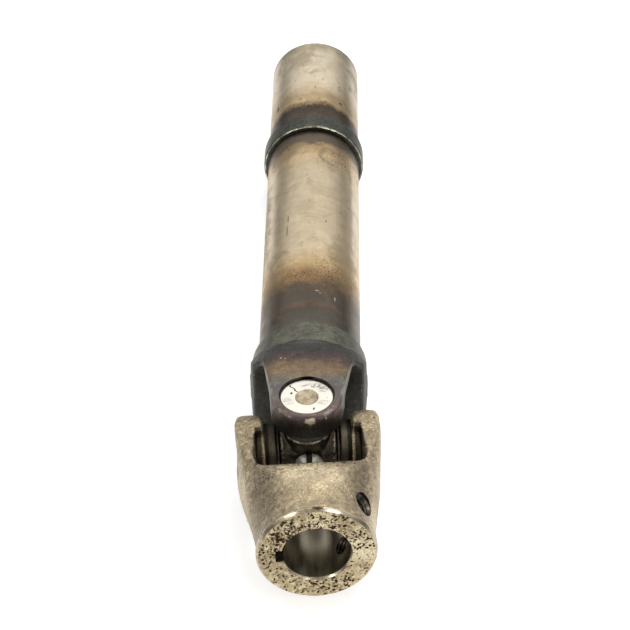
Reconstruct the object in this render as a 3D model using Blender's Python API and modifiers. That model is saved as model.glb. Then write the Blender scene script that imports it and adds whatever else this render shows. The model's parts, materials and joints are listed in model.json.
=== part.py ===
"""Universal joint shaft: a keyed hub yoke, a cross on four needle bearings, and a tube yoke with its tube.

Metres, +Z up. The shaft lies level along +Y, with the hub yoke towards -Y. The origin is at the middle of the
footprint, on the plane that the tube yoke's lower ear rests on. Working lengths below are in millimetres.
"""

import math

import bmesh
import bpy
from mathutils import Matrix, Vector

MM = 0.001

# Tube: 1 1/2 inch pipe, with the joining ring between its two lengths.
TUBE_OUTER_R = 24.15
TUBE_INNER_R = 20.45
TUBE_START = 57.3
RING_START = 219.8
RING_WIDTH = 12.1
RING_R = 26.6
TUBE_END = 308.5
SPIGOT_R = 20.15
SPIGOT_LENGTH = 13.0
BUTT_GAP = 0.3

# Cross and bearings, measured outwards from the joint's centre along a trunnion.
SHOULDER_R = 10.6
SHOULDER_REACH = 12.7
TRUNNION_R = 7.3
TRUNNION_REACH = 27.2
GREASE_DRILL_R = 1.75
PLUG_SEAT = 9.9
PLUG_HEAD_R = 6.6
PLUG_HEAD_HEIGHT = 4.6
PLUG_SHANK_R = 2.9
PLUG_SLOT_WIDTH = 2.1
CUP_R = 11.9
CUP_BORE_R = 9.5
CUP_MOUTH = 14.1
CUP_FLOOR = 28.2
CUP_FACE = 30.65
CUP_DIMPLE_R = 5.3
NEEDLE_COUNT = 26
NEEDLE_R = 1.03
NEEDLE_CIRCLE_R = 8.4
NEEDLE_START = 15.6
NEEDLE_END = 27.1
WASHER_R = 7.0
WASHER_START = 27.35
WASHER_END = 28.05
SNAP_WIRE_R = 0.42
SNAP_CENTRE_R = 12.0
SNAP_REACH = 31.18
SNAP_GAP_DEG = 24.0

# Forks: the ear's boss, the slot between the ears, and the bore that takes the cups.
BOSS_R = 16.2
BORE_R = 12.0
GROOVE_R = 12.65
GROOVE_HALF = 0.57
EAR_INNER = 19.4
TUBE_SLOT_WALL = 24.8
HUB_SLOT_WALL = 23.4
SLOT_STEP = 5.0
SLOT_FLOOR = 33.0
TUBE_SLOT_FILLET = 9.0
HUB_SLOT_FILLET = 5.5
INNER_BOSS_R = 13.7
TUBE_EAR_OUTER = 32.2
HUB_EAR_OUTER = 32.6
BAND_R = 27.0
BAND_START = 43.0
BAND_END = 57.0

# Hub: keyed bore with two tapped holes on one side of it.
HUB_FACE = 67.5
HUB_R = 26.0
HUB_BORE_R = 14.3
HUB_CHAMFER = 0.8
KEY_WIDTH = 6.35
KEY_DEPTH = 3.2
SCREW_HOLE_R = 4.0
SCREW_FROM_FACE = 13.3
SCREW_ANGLES_DEG = (54.5, 124.0)

# Pose at rest: the hub yoke stands a few degrees to the side, with its front end a little up.
HUB_YAW_DEG = 4.14
HUB_TILT_DEG = 1.5
JOINT_CENTRE = Vector((0.0, -119.65, TUBE_EAR_OUTER))

ROUND = 32
TUBE_ROUND = 48
CROSS_ROUND = 24
CUTTER_REACH = 90.0


def clear_scene():
    for obj in list(bpy.data.objects):
        bpy.data.objects.remove(obj, do_unlink=True)


def new_collection(name, hidden=False):
    made = bpy.data.collections.new(name)
    bpy.context.scene.collection.children.link(made)
    made.hide_render = hidden
    return made


def material(name, colour, roughness, metallic):
    made = bpy.data.materials.new(name)
    made.use_nodes = True
    shader = made.node_tree.nodes["Principled BSDF"]
    shader.inputs["Base Color"].default_value = (*colour, 1.0)
    shader.inputs["Roughness"].default_value = roughness
    shader.inputs["Metallic"].default_value = metallic
    return made


def empty(name, parent=None, location=Vector(), rotation=Matrix.Identity(3)):
    made = bpy.data.objects.new(name, None)
    PARTS.objects.link(made)
    made.parent = parent
    made.matrix_local = Matrix.Translation(location) @ rotation.to_4x4()
    return made


def place(obj, parent, rotation=Matrix.Identity(3), location=Vector(), finish=None, cutter=False):
    """Puts an object in its frame. A cutter is hidden from the render and kept apart."""
    (CUTTERS if cutter else PARTS).objects.link(obj)
    obj.parent = parent
    obj.matrix_local = Matrix.Translation(location * MM) @ rotation.to_4x4()
    if cutter:
        obj.hide_render = True
        obj.display_type = "WIRE"
    if finish:
        obj.data.materials.append(finish)
    return obj


def arc(centre, radius, start_deg, end_deg, count):
    """Points round a circle, both ends included."""
    step = (end_deg - start_deg) / count
    angles = [math.radians(start_deg + step * i) for i in range(count + 1)]
    return [(centre[0] + radius * math.cos(a), centre[1] + radius * math.sin(a)) for a in angles]


def mirrored(half):
    """A closed outline from its half at +X, listed from one end of the mirror line to the other."""
    return half + [(-x, y) for x, y in reversed(half) if abs(x) > 1e-6]


def turned(name, profile, closed=False, steps=ROUND):
    """A profile of (radius, height) turned about local Z. It runs down its outer side."""
    mesh = bpy.data.meshes.new(name)
    count = len(profile)
    edges = [(i, i + 1) for i in range(count - 1)]
    if closed:
        edges.append((count - 1, 0))
    mesh.from_pydata([(r * MM, 0.0, h * MM) for r, h in profile], edges, [])
    obj = bpy.data.objects.new(name, mesh)
    screw = obj.modifiers.new("Turn", "SCREW")
    screw.axis = "Z"
    screw.steps = steps
    screw.render_steps = steps
    screw.use_merge_vertices = True
    screw.merge_threshold = 0.00001
    screw.use_smooth_shade = True
    return obj


def flat_solid(name, outlines, half_thickness):
    """Closed outlines filled as a 2D curve and extruded both ways along local Z, made a mesh."""
    curve = bpy.data.curves.new(name + "_outline", "CURVE")
    curve.dimensions = "2D"
    curve.fill_mode = "BOTH"
    curve.extrude = half_thickness * MM
    for outline in outlines:
        spline = curve.splines.new("POLY")
        spline.points.add(len(outline) - 1)
        for point, (x, y) in zip(spline.points, outline):
            point.co = (x * MM, y * MM, 0.0, 1.0)
        spline.use_cyclic_u = True
    return curve_to_mesh(name, curve)


def curve_to_mesh(name, curve):
    guide = bpy.data.objects.new(name + "_guide", curve)
    bpy.context.scene.collection.objects.link(guide)
    graph = bpy.context.evaluated_depsgraph_get()
    mesh = bpy.data.meshes.new_from_object(guide.evaluated_get(graph))
    bpy.data.objects.remove(guide, do_unlink=True)
    shape = bmesh.new()
    shape.from_mesh(mesh)
    bmesh.ops.remove_doubles(shape, verts=shape.verts, dist=0.000001)
    bmesh.ops.recalc_face_normals(shape, faces=shape.faces)
    shape.to_mesh(mesh)
    shape.free()
    mesh.name = name
    return bpy.data.objects.new(name, mesh)


def cylinder(name, radius, start, end, segments=ROUND):
    """A plain cylinder along local Z, from one height to the other."""
    mesh = bpy.data.meshes.new(name)
    shape = bmesh.new()
    bmesh.ops.create_cone(
        shape,
        cap_ends=True,
        segments=segments,
        radius1=radius * MM,
        radius2=radius * MM,
        depth=(end - start) * MM,
        matrix=Matrix.Translation((0.0, 0.0, (start + end) / 2 * MM)),
    )
    shape.to_mesh(mesh)
    shape.free()
    return bpy.data.objects.new(name, mesh)


def box(name, size, centre):
    mesh = bpy.data.meshes.new(name)
    shape = bmesh.new()
    sides = Matrix.Diagonal((size[0] * MM, size[1] * MM, size[2] * MM, 1.0))
    bmesh.ops.create_cube(shape, size=1.0, matrix=Matrix.Translation(Vector(centre) * MM) @ sides)
    shape.to_mesh(mesh)
    shape.free()
    return bpy.data.objects.new(name, mesh)


def boolean(obj, other, operation):
    modifier = obj.modifiers.new(other.name, "BOOLEAN")
    modifier.operation = operation
    modifier.object = other
    modifier.solver = "EXACT"


def smooth_round(obj):
    obj.data.shade_smooth()
    obj.data.set_sharp_from_angle(angle=math.radians(35.0))


# Rotations of a part whose own axis is Z, to face along another axis.
ALONG_Z = Matrix.Identity(3)
ALONG_MINUS_Z = Matrix.Rotation(math.pi, 3, "X")
ALONG_X = Matrix.Rotation(math.pi / 2, 3, "Y")
ALONG_MINUS_X = Matrix.Rotation(-math.pi / 2, 3, "Y")
ALONG_Y = Matrix.Rotation(-math.pi / 2, 3, "X")
ALONG_MINUS_Y = Matrix.Rotation(math.pi / 2, 3, "X")
# An outline drawn as (Y, Z) and extruded along X.
SIDE_VIEW = Matrix(((0.0, 0.0, 1.0), (1.0, 0.0, 0.0), (0.0, 1.0, 0.0)))
# A fork is drawn with its shaft along +Y and its ears at +-Z. The hub yoke's shaft runs along -Y, ears at +-X.
HUB_FORK = Matrix(((0.0, 0.0, 1.0), (0.0, -1.0, 0.0), (1.0, 0.0, 0.0)))


def slot_outline(wall, fillet):
    """Half of the gap between the ears, as (distance from the shaft's axis, distance along the shaft)."""
    corner = arc((wall - fillet, SLOT_FLOOR - fillet), fillet, 90.0, 0.0, 6)
    return [(0.0, SLOT_FLOOR)] + corner + [
        (wall, SLOT_STEP + 1.5),
        (wall - 1.5, SLOT_STEP),
        (EAR_INNER, SLOT_STEP),
        (EAR_INNER, -CUTTER_REACH),
        (0.0, -CUTTER_REACH),
    ]


def swapped(outline):
    return [(y, x) for x, y in outline]


def fork(name, frame, envelope, plan_half, side_half, slot_half, ear_outer, finish):
    """A yoke: a turned envelope cut to its plan and side outlines, then slotted and bored for the cups.

    The envelope limits the corners. plan_half, side_half and slot_half are half outlines as (half width,
    distance along the shaft), seen along the bearing axis, and the last two across it.
    """
    yoke = place(turned(name, envelope, steps=TUBE_ROUND), frame, ALONG_Y, finish=finish)
    plan = place(flat_solid(name + "_plan", [mirrored(plan_half)], 60.0), frame, cutter=True)
    side_outline = swapped(mirrored(side_half))
    side = place(flat_solid(name + "_side", [side_outline], 60.0), frame, SIDE_VIEW, cutter=True)
    slot = flat_solid(name + "_slot", [swapped(mirrored(slot_half))], 70.0)
    place(slot, frame, SIDE_VIEW, cutter=True)
    for sign in (1, -1):
        inner_boss = cylinder(f"{name}_inner_boss_{sign:+d}", INNER_BOSS_R, EAR_INNER, 50.0)
        facing = ALONG_Z if sign > 0 else ALONG_MINUS_Z
        boolean(slot, place(inner_boss, frame, facing, cutter=True), "DIFFERENCE")
    bore_profile = [
        (0.0, 60.0),
        (BORE_R + 0.5, 60.0),
        (BORE_R + 0.5, ear_outer),
        (BORE_R, ear_outer - 0.5),
        (BORE_R, SNAP_REACH + GROOVE_HALF),
        (GROOVE_R, SNAP_REACH + GROOVE_HALF),
        (GROOVE_R, SNAP_REACH - GROOVE_HALF),
        (BORE_R, SNAP_REACH - GROOVE_HALF),
        (BORE_R, 15.0),
        (0.0, 15.0),
    ]
    boolean(yoke, plan, "INTERSECT")
    boolean(yoke, side, "INTERSECT")
    boolean(yoke, slot, "DIFFERENCE")
    for sign in (1, -1):
        bore = turned(f"{name}_cup_bore_{sign:+d}", bore_profile)
        facing = ALONG_Z if sign > 0 else ALONG_MINUS_Z
        boolean(yoke, place(bore, frame, facing, cutter=True), "DIFFERENCE")
    return yoke


def tube_yoke(frame, finish):
    envelope = [
        (0.0, BAND_END + SPIGOT_LENGTH),
        (SPIGOT_R - 1.0, BAND_END + SPIGOT_LENGTH),
        (SPIGOT_R, BAND_END + SPIGOT_LENGTH - 1.0),
        (SPIGOT_R, BAND_END),
        (BAND_R - 0.7, BAND_END),
        (BAND_R, BAND_END - 0.7),
        (BAND_R, BAND_START),
        (31.2, BAND_START - 2.2),
        (33.2, 31.0),
        (35.2, 20.0),
        (36.0, 10.0),
        (36.0, -18.0),
        (0.0, -18.0),
    ]
    ear_end = arc((0.0, 0.0), BOSS_R, -90.0, 0.0, 10)
    plan_half = ear_end + [
        (17.1, 8.0),
        (18.5, 16.0),
        (19.5, 22.0),
        (20.2, 26.5),
        (21.4, 29.6),
        (23.6, 31.8),
        (25.6, 33.6),
        (26.6, 36.6),
        (26.9, 41.0),
        (28.0, 43.0),
        (28.0, 80.0),
        (0.0, 80.0),
    ]
    corner = 5.0
    side_half = [(0.0, -17.0), (TUBE_EAR_OUTER - 9.0, -17.0)]
    side_half += [(TUBE_EAR_OUTER - corner, -BOSS_R)]
    side_half += arc((TUBE_EAR_OUTER - corner, corner - BOSS_R), corner, -75.0, 0.0, 5)
    side_half += [
        (TUBE_EAR_OUTER, 12.5),
        (31.6, 19.0),
        (30.3, 27.0),
        (28.6, 34.5),
        (27.1, 41.0),
        (28.2, 43.0),
        (28.2, 80.0),
        (0.0, 80.0),
    ]
    slot_half = slot_outline(TUBE_SLOT_WALL, TUBE_SLOT_FILLET)
    return fork("tube_yoke", frame, envelope, plan_half, side_half, slot_half, TUBE_EAR_OUTER, finish)


def hub_yoke(frame, finish):
    envelope = [
        (0.0, HUB_FACE),
        (HUB_R - 0.5, HUB_FACE),
        (HUB_R, HUB_FACE - 0.5),
        (HUB_R, 64.3),
        (HUB_R - 0.3, 63.9),
        (25.9, 60.0),
        (26.4, 54.5),
        (28.3, 44.5),
        (31.0, 34.0),
        (33.9, 24.0),
        (35.3, 13.0),
        (35.7, 4.0),
        (35.7, -18.0),
        (0.0, -18.0),
    ]
    ear_end = arc((0.0, 0.0), BOSS_R, -90.0, 0.0, 10)
    plan_half = ear_end + [
        (16.9, 9.0),
        (18.4, 17.0),
        (20.4, 25.5),
        (22.6, 33.0),
        (24.7, 40.5),
        (26.0, 46.0),
        (27.5, 52.0),
        (27.5, 80.0),
        (0.0, 80.0),
    ]
    corner = 3.2
    side_half = [(0.0, -17.0), (HUB_EAR_OUTER - corner - 3.0, -17.0)]
    side_half += [(HUB_EAR_OUTER - corner, -BOSS_R)]
    side_half += arc((HUB_EAR_OUTER - corner, corner - BOSS_R), corner, -70.0, 0.0, 4)
    side_half += [
        (HUB_EAR_OUTER, 5.0),
        (31.9, 13.5),
        (30.7, 24.5),
        (29.3, 34.5),
        (27.8, 44.5),
        (27.2, 51.0),
        (27.6, 56.0),
        (27.6, 80.0),
        (0.0, 80.0),
    ]
    slot_half = slot_outline(HUB_SLOT_WALL, HUB_SLOT_FILLET)
    yoke = fork("hub_yoke", frame, envelope, plan_half, side_half, slot_half, HUB_EAR_OUTER, finish)
    shaft_bore_profile = [
        (0.0, HUB_FACE + 10.0),
        (HUB_BORE_R + HUB_CHAMFER, HUB_FACE + 10.0),
        (HUB_BORE_R + HUB_CHAMFER, HUB_FACE),
        (HUB_BORE_R, HUB_FACE - HUB_CHAMFER),
        (HUB_BORE_R, SLOT_FLOOR - 8.0),
        (0.0, SLOT_FLOOR - 8.0),
    ]
    shaft_bore = place(turned("hub_yoke_shaft_bore", shaft_bore_profile), frame, ALONG_Y, cutter=True)
    boolean(yoke, shaft_bore, "DIFFERENCE")
    key_reach = HUB_BORE_R + KEY_DEPTH
    key_length = HUB_FACE - SLOT_FLOOR + 30.0
    key_centre = (0.0, SLOT_FLOOR - 10.0 + key_length / 2, -key_reach / 2)
    keyway = box("hub_yoke_keyway", (KEY_WIDTH, key_length, key_reach), key_centre)
    boolean(yoke, place(keyway, frame, cutter=True), "DIFFERENCE")
    for angle in SCREW_ANGLES_DEG:
        hole = cylinder(f"hub_yoke_screw_hole_{angle:.0f}", SCREW_HOLE_R, 8.0, 40.0, 20)
        facing = Matrix.Rotation(math.radians(90.0 - angle), 3, "Y")
        location = Vector((0.0, HUB_FACE - SCREW_FROM_FACE, 0.0))
        boolean(yoke, place(hole, frame, facing, location, cutter=True), "DIFFERENCE")
    return yoke


def tube(name, start, end, frame, finish):
    rim = 0.5
    profile = [
        (TUBE_OUTER_R - rim, end),
        (TUBE_OUTER_R, end - rim),
        (TUBE_OUTER_R, start),
        (TUBE_INNER_R, start),
        (TUBE_INNER_R, end),
    ]
    return place(turned(name, profile, closed=True, steps=TUBE_ROUND), frame, ALONG_Y, finish=finish)


def collar_ring(frame, finish):
    """The ring that joins the two lengths of tube, with a spigot into each."""
    start, end = RING_START, RING_START + RING_WIDTH
    wall = 3.0
    profile = [
        (SPIGOT_R - wall, end + SPIGOT_LENGTH),
        (SPIGOT_R, end + SPIGOT_LENGTH),
        (SPIGOT_R, end),
        (RING_R - 0.9, end),
        (RING_R, end - 0.9),
        (RING_R, start + 0.4),
        (RING_R - 0.4, start),
        (SPIGOT_R, start),
        (SPIGOT_R, start - SPIGOT_LENGTH),
        (SPIGOT_R - wall, start - SPIGOT_LENGTH),
    ]
    return place(turned("collar_ring", profile, closed=True, steps=TUBE_ROUND), frame, ALONG_Y, finish=finish)


def cross(frame, finish):
    def arm_profile():
        return [
            (0.0, TRUNNION_REACH),
            (TRUNNION_R - 0.8, TRUNNION_REACH),
            (TRUNNION_R, TRUNNION_REACH - 0.8),
            (TRUNNION_R, SHOULDER_REACH + 0.5),
            (TRUNNION_R + 0.7, SHOULDER_REACH),
            (SHOULDER_R - 0.9, SHOULDER_REACH),
            (SHOULDER_R, SHOULDER_REACH - 0.9),
            (SHOULDER_R, -SHOULDER_REACH + 0.9),
            (SHOULDER_R - 0.9, -SHOULDER_REACH),
            (TRUNNION_R + 0.7, -SHOULDER_REACH),
            (TRUNNION_R, -SHOULDER_REACH - 0.5),
            (TRUNNION_R, -TRUNNION_REACH + 0.8),
            (TRUNNION_R - 0.8, -TRUNNION_REACH),
            (0.0, -TRUNNION_REACH),
        ]

    body = place(turned("cross", arm_profile(), steps=CROSS_ROUND), frame, finish=finish)
    other_arm = turned("cross_other_arm", arm_profile(), steps=CROSS_ROUND)
    boolean(body, place(other_arm, frame, ALONG_X, cutter=True), "UNION")
    seat = cylinder("cross_plug_seat", PLUG_HEAD_R + 1.2, PLUG_SEAT, PLUG_SEAT + 10.0, 32)
    boolean(body, place(seat, frame, ALONG_MINUS_Y, cutter=True), "DIFFERENCE")
    plug_hole = cylinder("cross_plug_hole", PLUG_SHANK_R + 0.15, 0.0, PLUG_SEAT + 5.0, 16)
    boolean(body, place(plug_hole, frame, ALONG_MINUS_Y, cutter=True), "DIFFERENCE")
    for drill_name, facing in (("upright", ALONG_Z), ("level", ALONG_X)):
        drill = cylinder(f"cross_{drill_name}_drill", GREASE_DRILL_R, -40.0, 40.0, 8)
        boolean(body, place(drill, frame, facing, cutter=True), "DIFFERENCE")
    return body


def grease_plug(frame, finish):
    """A slotted plug in the cross's grease hole, its head on the seat."""
    under_head = PLUG_SEAT + 0.3
    top = under_head + PLUG_HEAD_HEIGHT
    crown = 1.6
    profile = [(0.0, top)]
    profile += [(PLUG_HEAD_R - crown, top)]
    profile += arc((PLUG_HEAD_R - crown, top - crown), crown, 60.0, 0.0, 3)
    profile += [
        (PLUG_HEAD_R, under_head),
        (PLUG_SHANK_R, under_head),
        (PLUG_SHANK_R, PLUG_SEAT - 6.0),
        (0.0, PLUG_SEAT - 6.0),
    ]
    plug = place(turned("grease_plug", profile, steps=CROSS_ROUND), frame, ALONG_MINUS_Y, finish=finish)
    slot_depth = 2.6
    slot_centre = (0.0, -(top - slot_depth / 2 + 1.0), 0.0)
    slot = box("grease_plug_slot", (PLUG_SLOT_WIDTH, slot_depth + 2.0, 30.0), slot_centre)
    boolean(plug, place(slot, frame, cutter=True), "DIFFERENCE")
    return plug


def bearing_cup(name, frame, facing, finish):
    dimple = 0.45
    edge = 0.5
    profile = [
        (0.0, CUP_FACE - dimple),
        (CUP_DIMPLE_R - 0.4, CUP_FACE - dimple),
        (CUP_DIMPLE_R, CUP_FACE),
        (CUP_R - edge, CUP_FACE),
        (CUP_R, CUP_FACE - edge),
        (CUP_R, CUP_MOUTH + 0.6),
        (CUP_R - 0.6, CUP_MOUTH),
        (CUP_BORE_R, CUP_MOUTH),
        (CUP_BORE_R, CUP_FLOOR),
        (0.0, CUP_FLOOR),
    ]
    return place(turned(name, profile), frame, facing, finish=finish)


def seal(name, frame, facing, finish):
    """A rubber lip seal: a flange over the cup's mouth and a collar inside it."""
    inner = TRUNNION_R + 0.2
    profile = [
        (CUP_BORE_R - 0.25, 15.3),
        (CUP_BORE_R - 0.25, CUP_MOUTH - 0.3),
        (CUP_R - 1.0, CUP_MOUTH - 0.3),
        (CUP_R - 1.3, SHOULDER_REACH + 0.35),
        (inner + 0.9, SHOULDER_REACH + 0.35),
        (inner, SHOULDER_REACH + 0.9),
        (inner, 15.3),
    ]
    return place(turned(name, profile, closed=True, steps=28), frame, facing, finish=finish)


def needle_set(name, frame, facing, finish):
    """The needles of one bearing, joined where neighbours touch, as one ring."""
    pitch = 2.0 * math.pi / NEEDLE_COUNT
    touch = math.asin(NEEDLE_CIRCLE_R * math.sin(pitch / 2) / NEEDLE_R)
    loops = []
    for outwards in (True, False):
        loop = []
        for i in range(NEEDLE_COUNT):
            centre_angle = pitch * i
            centre = NEEDLE_CIRCLE_R * math.cos(centre_angle), NEEDLE_CIRCLE_R * math.sin(centre_angle)
            for fraction in (-1.0, 0.0):
                swing = fraction * touch
                angle = centre_angle + (swing if outwards else math.pi - swing)
                loop.append((centre[0] + NEEDLE_R * math.cos(angle), centre[1] + NEEDLE_R * math.sin(angle)))
        loops.append(loop)
    ring = flat_solid(name, loops, (NEEDLE_END - NEEDLE_START) / 2)
    middle = Vector((0.0, 0.0, (NEEDLE_START + NEEDLE_END) / 2))
    ring.data.transform(Matrix.Translation(middle * MM))
    return place(ring, frame, facing, finish=finish)


def thrust_washer(name, frame, facing, finish):
    profile = [
        (WASHER_R, WASHER_END),
        (WASHER_R, WASHER_START),
        (GREASE_DRILL_R, WASHER_START),
        (GREASE_DRILL_R, WASHER_END),
    ]
    return place(turned(name, profile, closed=True, steps=20), frame, facing, finish=finish)


def snap_ring(name, frame, facing, finish):
    """A round-wire ring, open by a gap, in the groove outside the cup."""
    curve = bpy.data.curves.new(name + "_wire", "CURVE")
    curve.dimensions = "3D"
    curve.bevel_depth = SNAP_WIRE_R * MM
    curve.bevel_resolution = 1
    curve.use_fill_caps = True
    start = 90.0 + SNAP_GAP_DEG / 2
    points = arc((0.0, 0.0), SNAP_CENTRE_R, start, start + 360.0 - SNAP_GAP_DEG, 26)
    spline = curve.splines.new("POLY")
    spline.points.add(len(points) - 1)
    for point, (x, y) in zip(spline.points, points):
        point.co = (x * MM, y * MM, SNAP_REACH * MM, 1.0)
    return place(curve_to_mesh(name, curve), frame, facing, finish=finish)


clear_scene()
PARTS = new_collection("universal_joint_shaft")
CUTTERS = new_collection("cutters", hidden=True)

STEEL_TUBE = material("brushed_tube_steel", (0.55, 0.47, 0.36), 0.35, 1.0)
FORGED = material("forged_steel", (0.20, 0.19, 0.18), 0.45, 1.0)
CAST = material("cast_steel", (0.38, 0.33, 0.27), 0.65, 0.9)
DARK_RING = material("ring_steel", (0.16, 0.17, 0.15), 0.5, 0.9)
CROSS_STEEL = material("cross_steel", (0.13, 0.12, 0.11), 0.5, 0.9)
BRIGHT = material("bright_cup_steel", (0.78, 0.76, 0.72), 0.25, 1.0)
PLATED = material("plated_plug_steel", (0.60, 0.58, 0.52), 0.35, 1.0)
RUBBER = material("black_rubber", (0.03, 0.03, 0.03), 0.7, 0.0)
NEEDLE_STEEL = material("needle_steel", (0.70, 0.70, 0.70), 0.2, 1.0)
WASHER = material("pale_nylon", (0.75, 0.72, 0.62), 0.5, 0.0)
SPRING_WIRE = material("black_spring_steel", (0.04, 0.04, 0.04), 0.5, 0.8)

CENTRE = empty("joint_centre", location=JOINT_CENTRE * MM)
SWIVELLED = empty("cross_axis", CENTRE, rotation=Matrix.Rotation(math.radians(HUB_YAW_DEG), 3, "Z"))
TILTED = empty("hub_swing_axis", SWIVELLED, rotation=Matrix.Rotation(math.radians(-HUB_TILT_DEG), 3, "X"))
HUB_FRAME = empty("hub_axis", TILTED, rotation=HUB_FORK)

tube_yoke(CENTRE, FORGED)
tube("front_tube", TUBE_START, RING_START - BUTT_GAP, CENTRE, STEEL_TUBE)
collar_ring(CENTRE, DARK_RING)
tube("rear_tube", RING_START + RING_WIDTH + BUTT_GAP, TUBE_END, CENTRE, STEEL_TUBE)
hub_yoke(HUB_FRAME, CAST)
cross(SWIVELLED, CROSS_STEEL)
grease_plug(SWIVELLED, PLATED)

BEARINGS = {
    "upper": (CENTRE, ALONG_Z),
    "lower": (CENTRE, ALONG_MINUS_Z),
    "right": (TILTED, ALONG_X),
    "left": (TILTED, ALONG_MINUS_X),
}
for side, (frame, facing) in BEARINGS.items():
    bearing_cup(f"{side}_bearing_cup", frame, facing, BRIGHT)
    seal(f"{side}_seal", frame, facing, RUBBER)
    snap_ring(f"{side}_snap_ring", frame, facing, SPRING_WIRE)
    needle_set(f"{side}_needle_set", frame, facing, NEEDLE_STEEL)
    thrust_washer(f"{side}_thrust_washer", SWIVELLED, facing, WASHER)

for made in PARTS.objects:
    if made.type == "MESH":
        smooth_round(made)
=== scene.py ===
"""Looks of a universal joint shaft: every visible piece, its materials, the light and the camera.

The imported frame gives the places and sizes. Shapes here are in millimetres, each in the frame of the part it
belongs to. A fork's frame has its shaft along +Y and its ears at +-Z, and its origin is the joint's centre.
"""

import contextlib
import json
import math

import bmesh
import bpy
import numpy as np
from mathutils import Matrix, Vector, noise


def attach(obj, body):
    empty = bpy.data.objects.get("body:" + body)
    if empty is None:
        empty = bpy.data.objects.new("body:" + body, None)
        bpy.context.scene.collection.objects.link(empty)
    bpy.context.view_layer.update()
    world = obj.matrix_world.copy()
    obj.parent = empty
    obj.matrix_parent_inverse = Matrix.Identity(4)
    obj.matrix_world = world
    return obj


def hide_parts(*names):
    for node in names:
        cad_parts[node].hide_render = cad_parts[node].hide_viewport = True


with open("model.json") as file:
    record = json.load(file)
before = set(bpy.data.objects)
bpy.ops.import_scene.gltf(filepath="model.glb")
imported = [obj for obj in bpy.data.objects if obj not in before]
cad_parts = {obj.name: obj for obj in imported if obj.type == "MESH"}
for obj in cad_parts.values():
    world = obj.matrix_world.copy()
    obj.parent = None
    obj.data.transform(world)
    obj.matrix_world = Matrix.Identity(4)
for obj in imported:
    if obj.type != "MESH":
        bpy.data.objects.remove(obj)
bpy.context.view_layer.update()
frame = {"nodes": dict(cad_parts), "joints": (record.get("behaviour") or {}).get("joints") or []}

MM = 0.001
JOINTS = {joint["name"]: joint for joint in frame["joints"]}
CENTRE = Vector(JOINTS["cross_swivel"]["pos_m"])
HUB_AXIS = Vector(JOINTS["hub_swing"]["axis"])

# Frames. The hub yoke's shaft runs along -Y, its front end a little up, with its ears at +-X.
SHAFT = Matrix.Translation(CENTRE)
CROSS = SHAFT @ Matrix.Rotation(math.atan2(HUB_AXIS.y, HUB_AXIS.x), 4, "Z")
HUB_TILT_DEG = 1.5
HUB = CROSS @ Matrix.Rotation(math.radians(-HUB_TILT_DEG), 4, "X")
HUB = HUB @ Matrix(((0, 0, 1, 0), (0, -1, 0, 0), (1, 0, 0, 0), (0, 0, 0, 1)))

# Rotations of a turned shape, whose axis is Z, to face along another axis.
FACING = {
    "+Z": Matrix.Identity(4),
    "-Z": Matrix.Rotation(math.pi, 4, "X"),
    "+X": Matrix.Rotation(math.pi / 2, 4, "Y"),
    "-X": Matrix.Rotation(-math.pi / 2, 4, "Y"),
    "+Y": Matrix.Rotation(-math.pi / 2, 4, "X"),
    "-Y": Matrix.Rotation(math.pi / 2, 4, "X"),
}


def extent(node, local):
    """Lowest and highest coordinates of a CAD node in a local frame, in millimetres."""
    to_local = local.inverted()
    corners = np.array([to_local @ vertex.co for vertex in frame["nodes"][node].data.vertices]) / MM
    return corners.min(axis=0), corners.max(axis=0)


FRONT_LOW, FRONT_HIGH = extent("front_tube", SHAFT)
REAR_LOW, REAR_HIGH = extent("rear_tube", SHAFT)
HUB_HIGH = extent("hub_yoke", HUB)[1]
YOKE_HIGH = extent("tube_yoke", SHAFT)[1]
CUP_LOW, CUP_HIGH = extent("upper_bearing_cup", SHAFT)

TUBE_R = FRONT_HIGH[0]
TUBE_BORE_R = 20.45
TUBE_START = FRONT_LOW[1]
TUBE_JOIN = FRONT_HIGH[1]
REAR_START = REAR_LOW[1]
TUBE_END = REAR_HIGH[1]
BUTT_GAP = 0.3
RING_START = TUBE_JOIN + BUTT_GAP
RING_END = REAR_START - BUTT_GAP
RING_R = 26.6
SPIGOT_R = 20.15
SPIGOT_BORE_R = 17.15
SPIGOT_LENGTH = 13.0

BAND_START = 43.4
BAND_END = TUBE_START - BUTT_GAP
BAND_R = 27.0
YOKE_EAR = YOKE_HIGH[2]
HUB_EAR = HUB_HIGH[2]
HUB_FACE = HUB_HIGH[1]
HUB_R = 26.0
HUB_BORE_R = 14.3
HUB_CHAMFER = 0.8
HUB_BAND_START = 65.3
KEY_WIDTH = 6.35
KEY_REACH = 17.5
SLOT_FLOOR = 33.0
SCREW_MINOR_R = 4.0
SCREW_MAJOR_R = 4.75
SCREW_PITCH = 1.59
SCREW_FROM_FACE = 13.3
SCREW_ANGLES_DEG = (54.5, 124)

CUP_R = CUP_HIGH[0]
CUP_FACE = CUP_HIGH[2]
CUP_MOUTH = CUP_LOW[2]
CUP_BORE_R = 9.5
CUP_FLOOR = 28.2
CUP_DIMPLE_R = 5.3
CUP_DIMPLE = 0.45
BORE_R = 12.0
GROOVE_R = 12.6
SNAP_REACH = 31.18
SNAP_WIRE_R = 0.42
SNAP_R = 12.0
SNAP_GAP_DEG = 24.0
EAR_INNER = 19.4
INNER_BOSS_R = 13.7
TRUNNION_R = 7.3
SHOULDER_REACH = 12.7
PLUG_SEAT = 9.9
PLUG_R = 6.6
PLUG_HEIGHT = 4.6
NEEDLE_COUNT = 26
NEEDLE_R = 0.99
NEEDLE_CIRCLE_R = 8.4
NEEDLE_START = 15.6
NEEDLE_END = 27.1
WASHER_START = 27.35
WASHER_END = 28.05
SEAL_BORE_R = TRUNNION_R + 0.2

# Edges that turn by more than this are drawn sharp.
SHARP_EDGE_DEG = 32.0


# ---------------------------------------------------------------- mesh work

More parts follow.
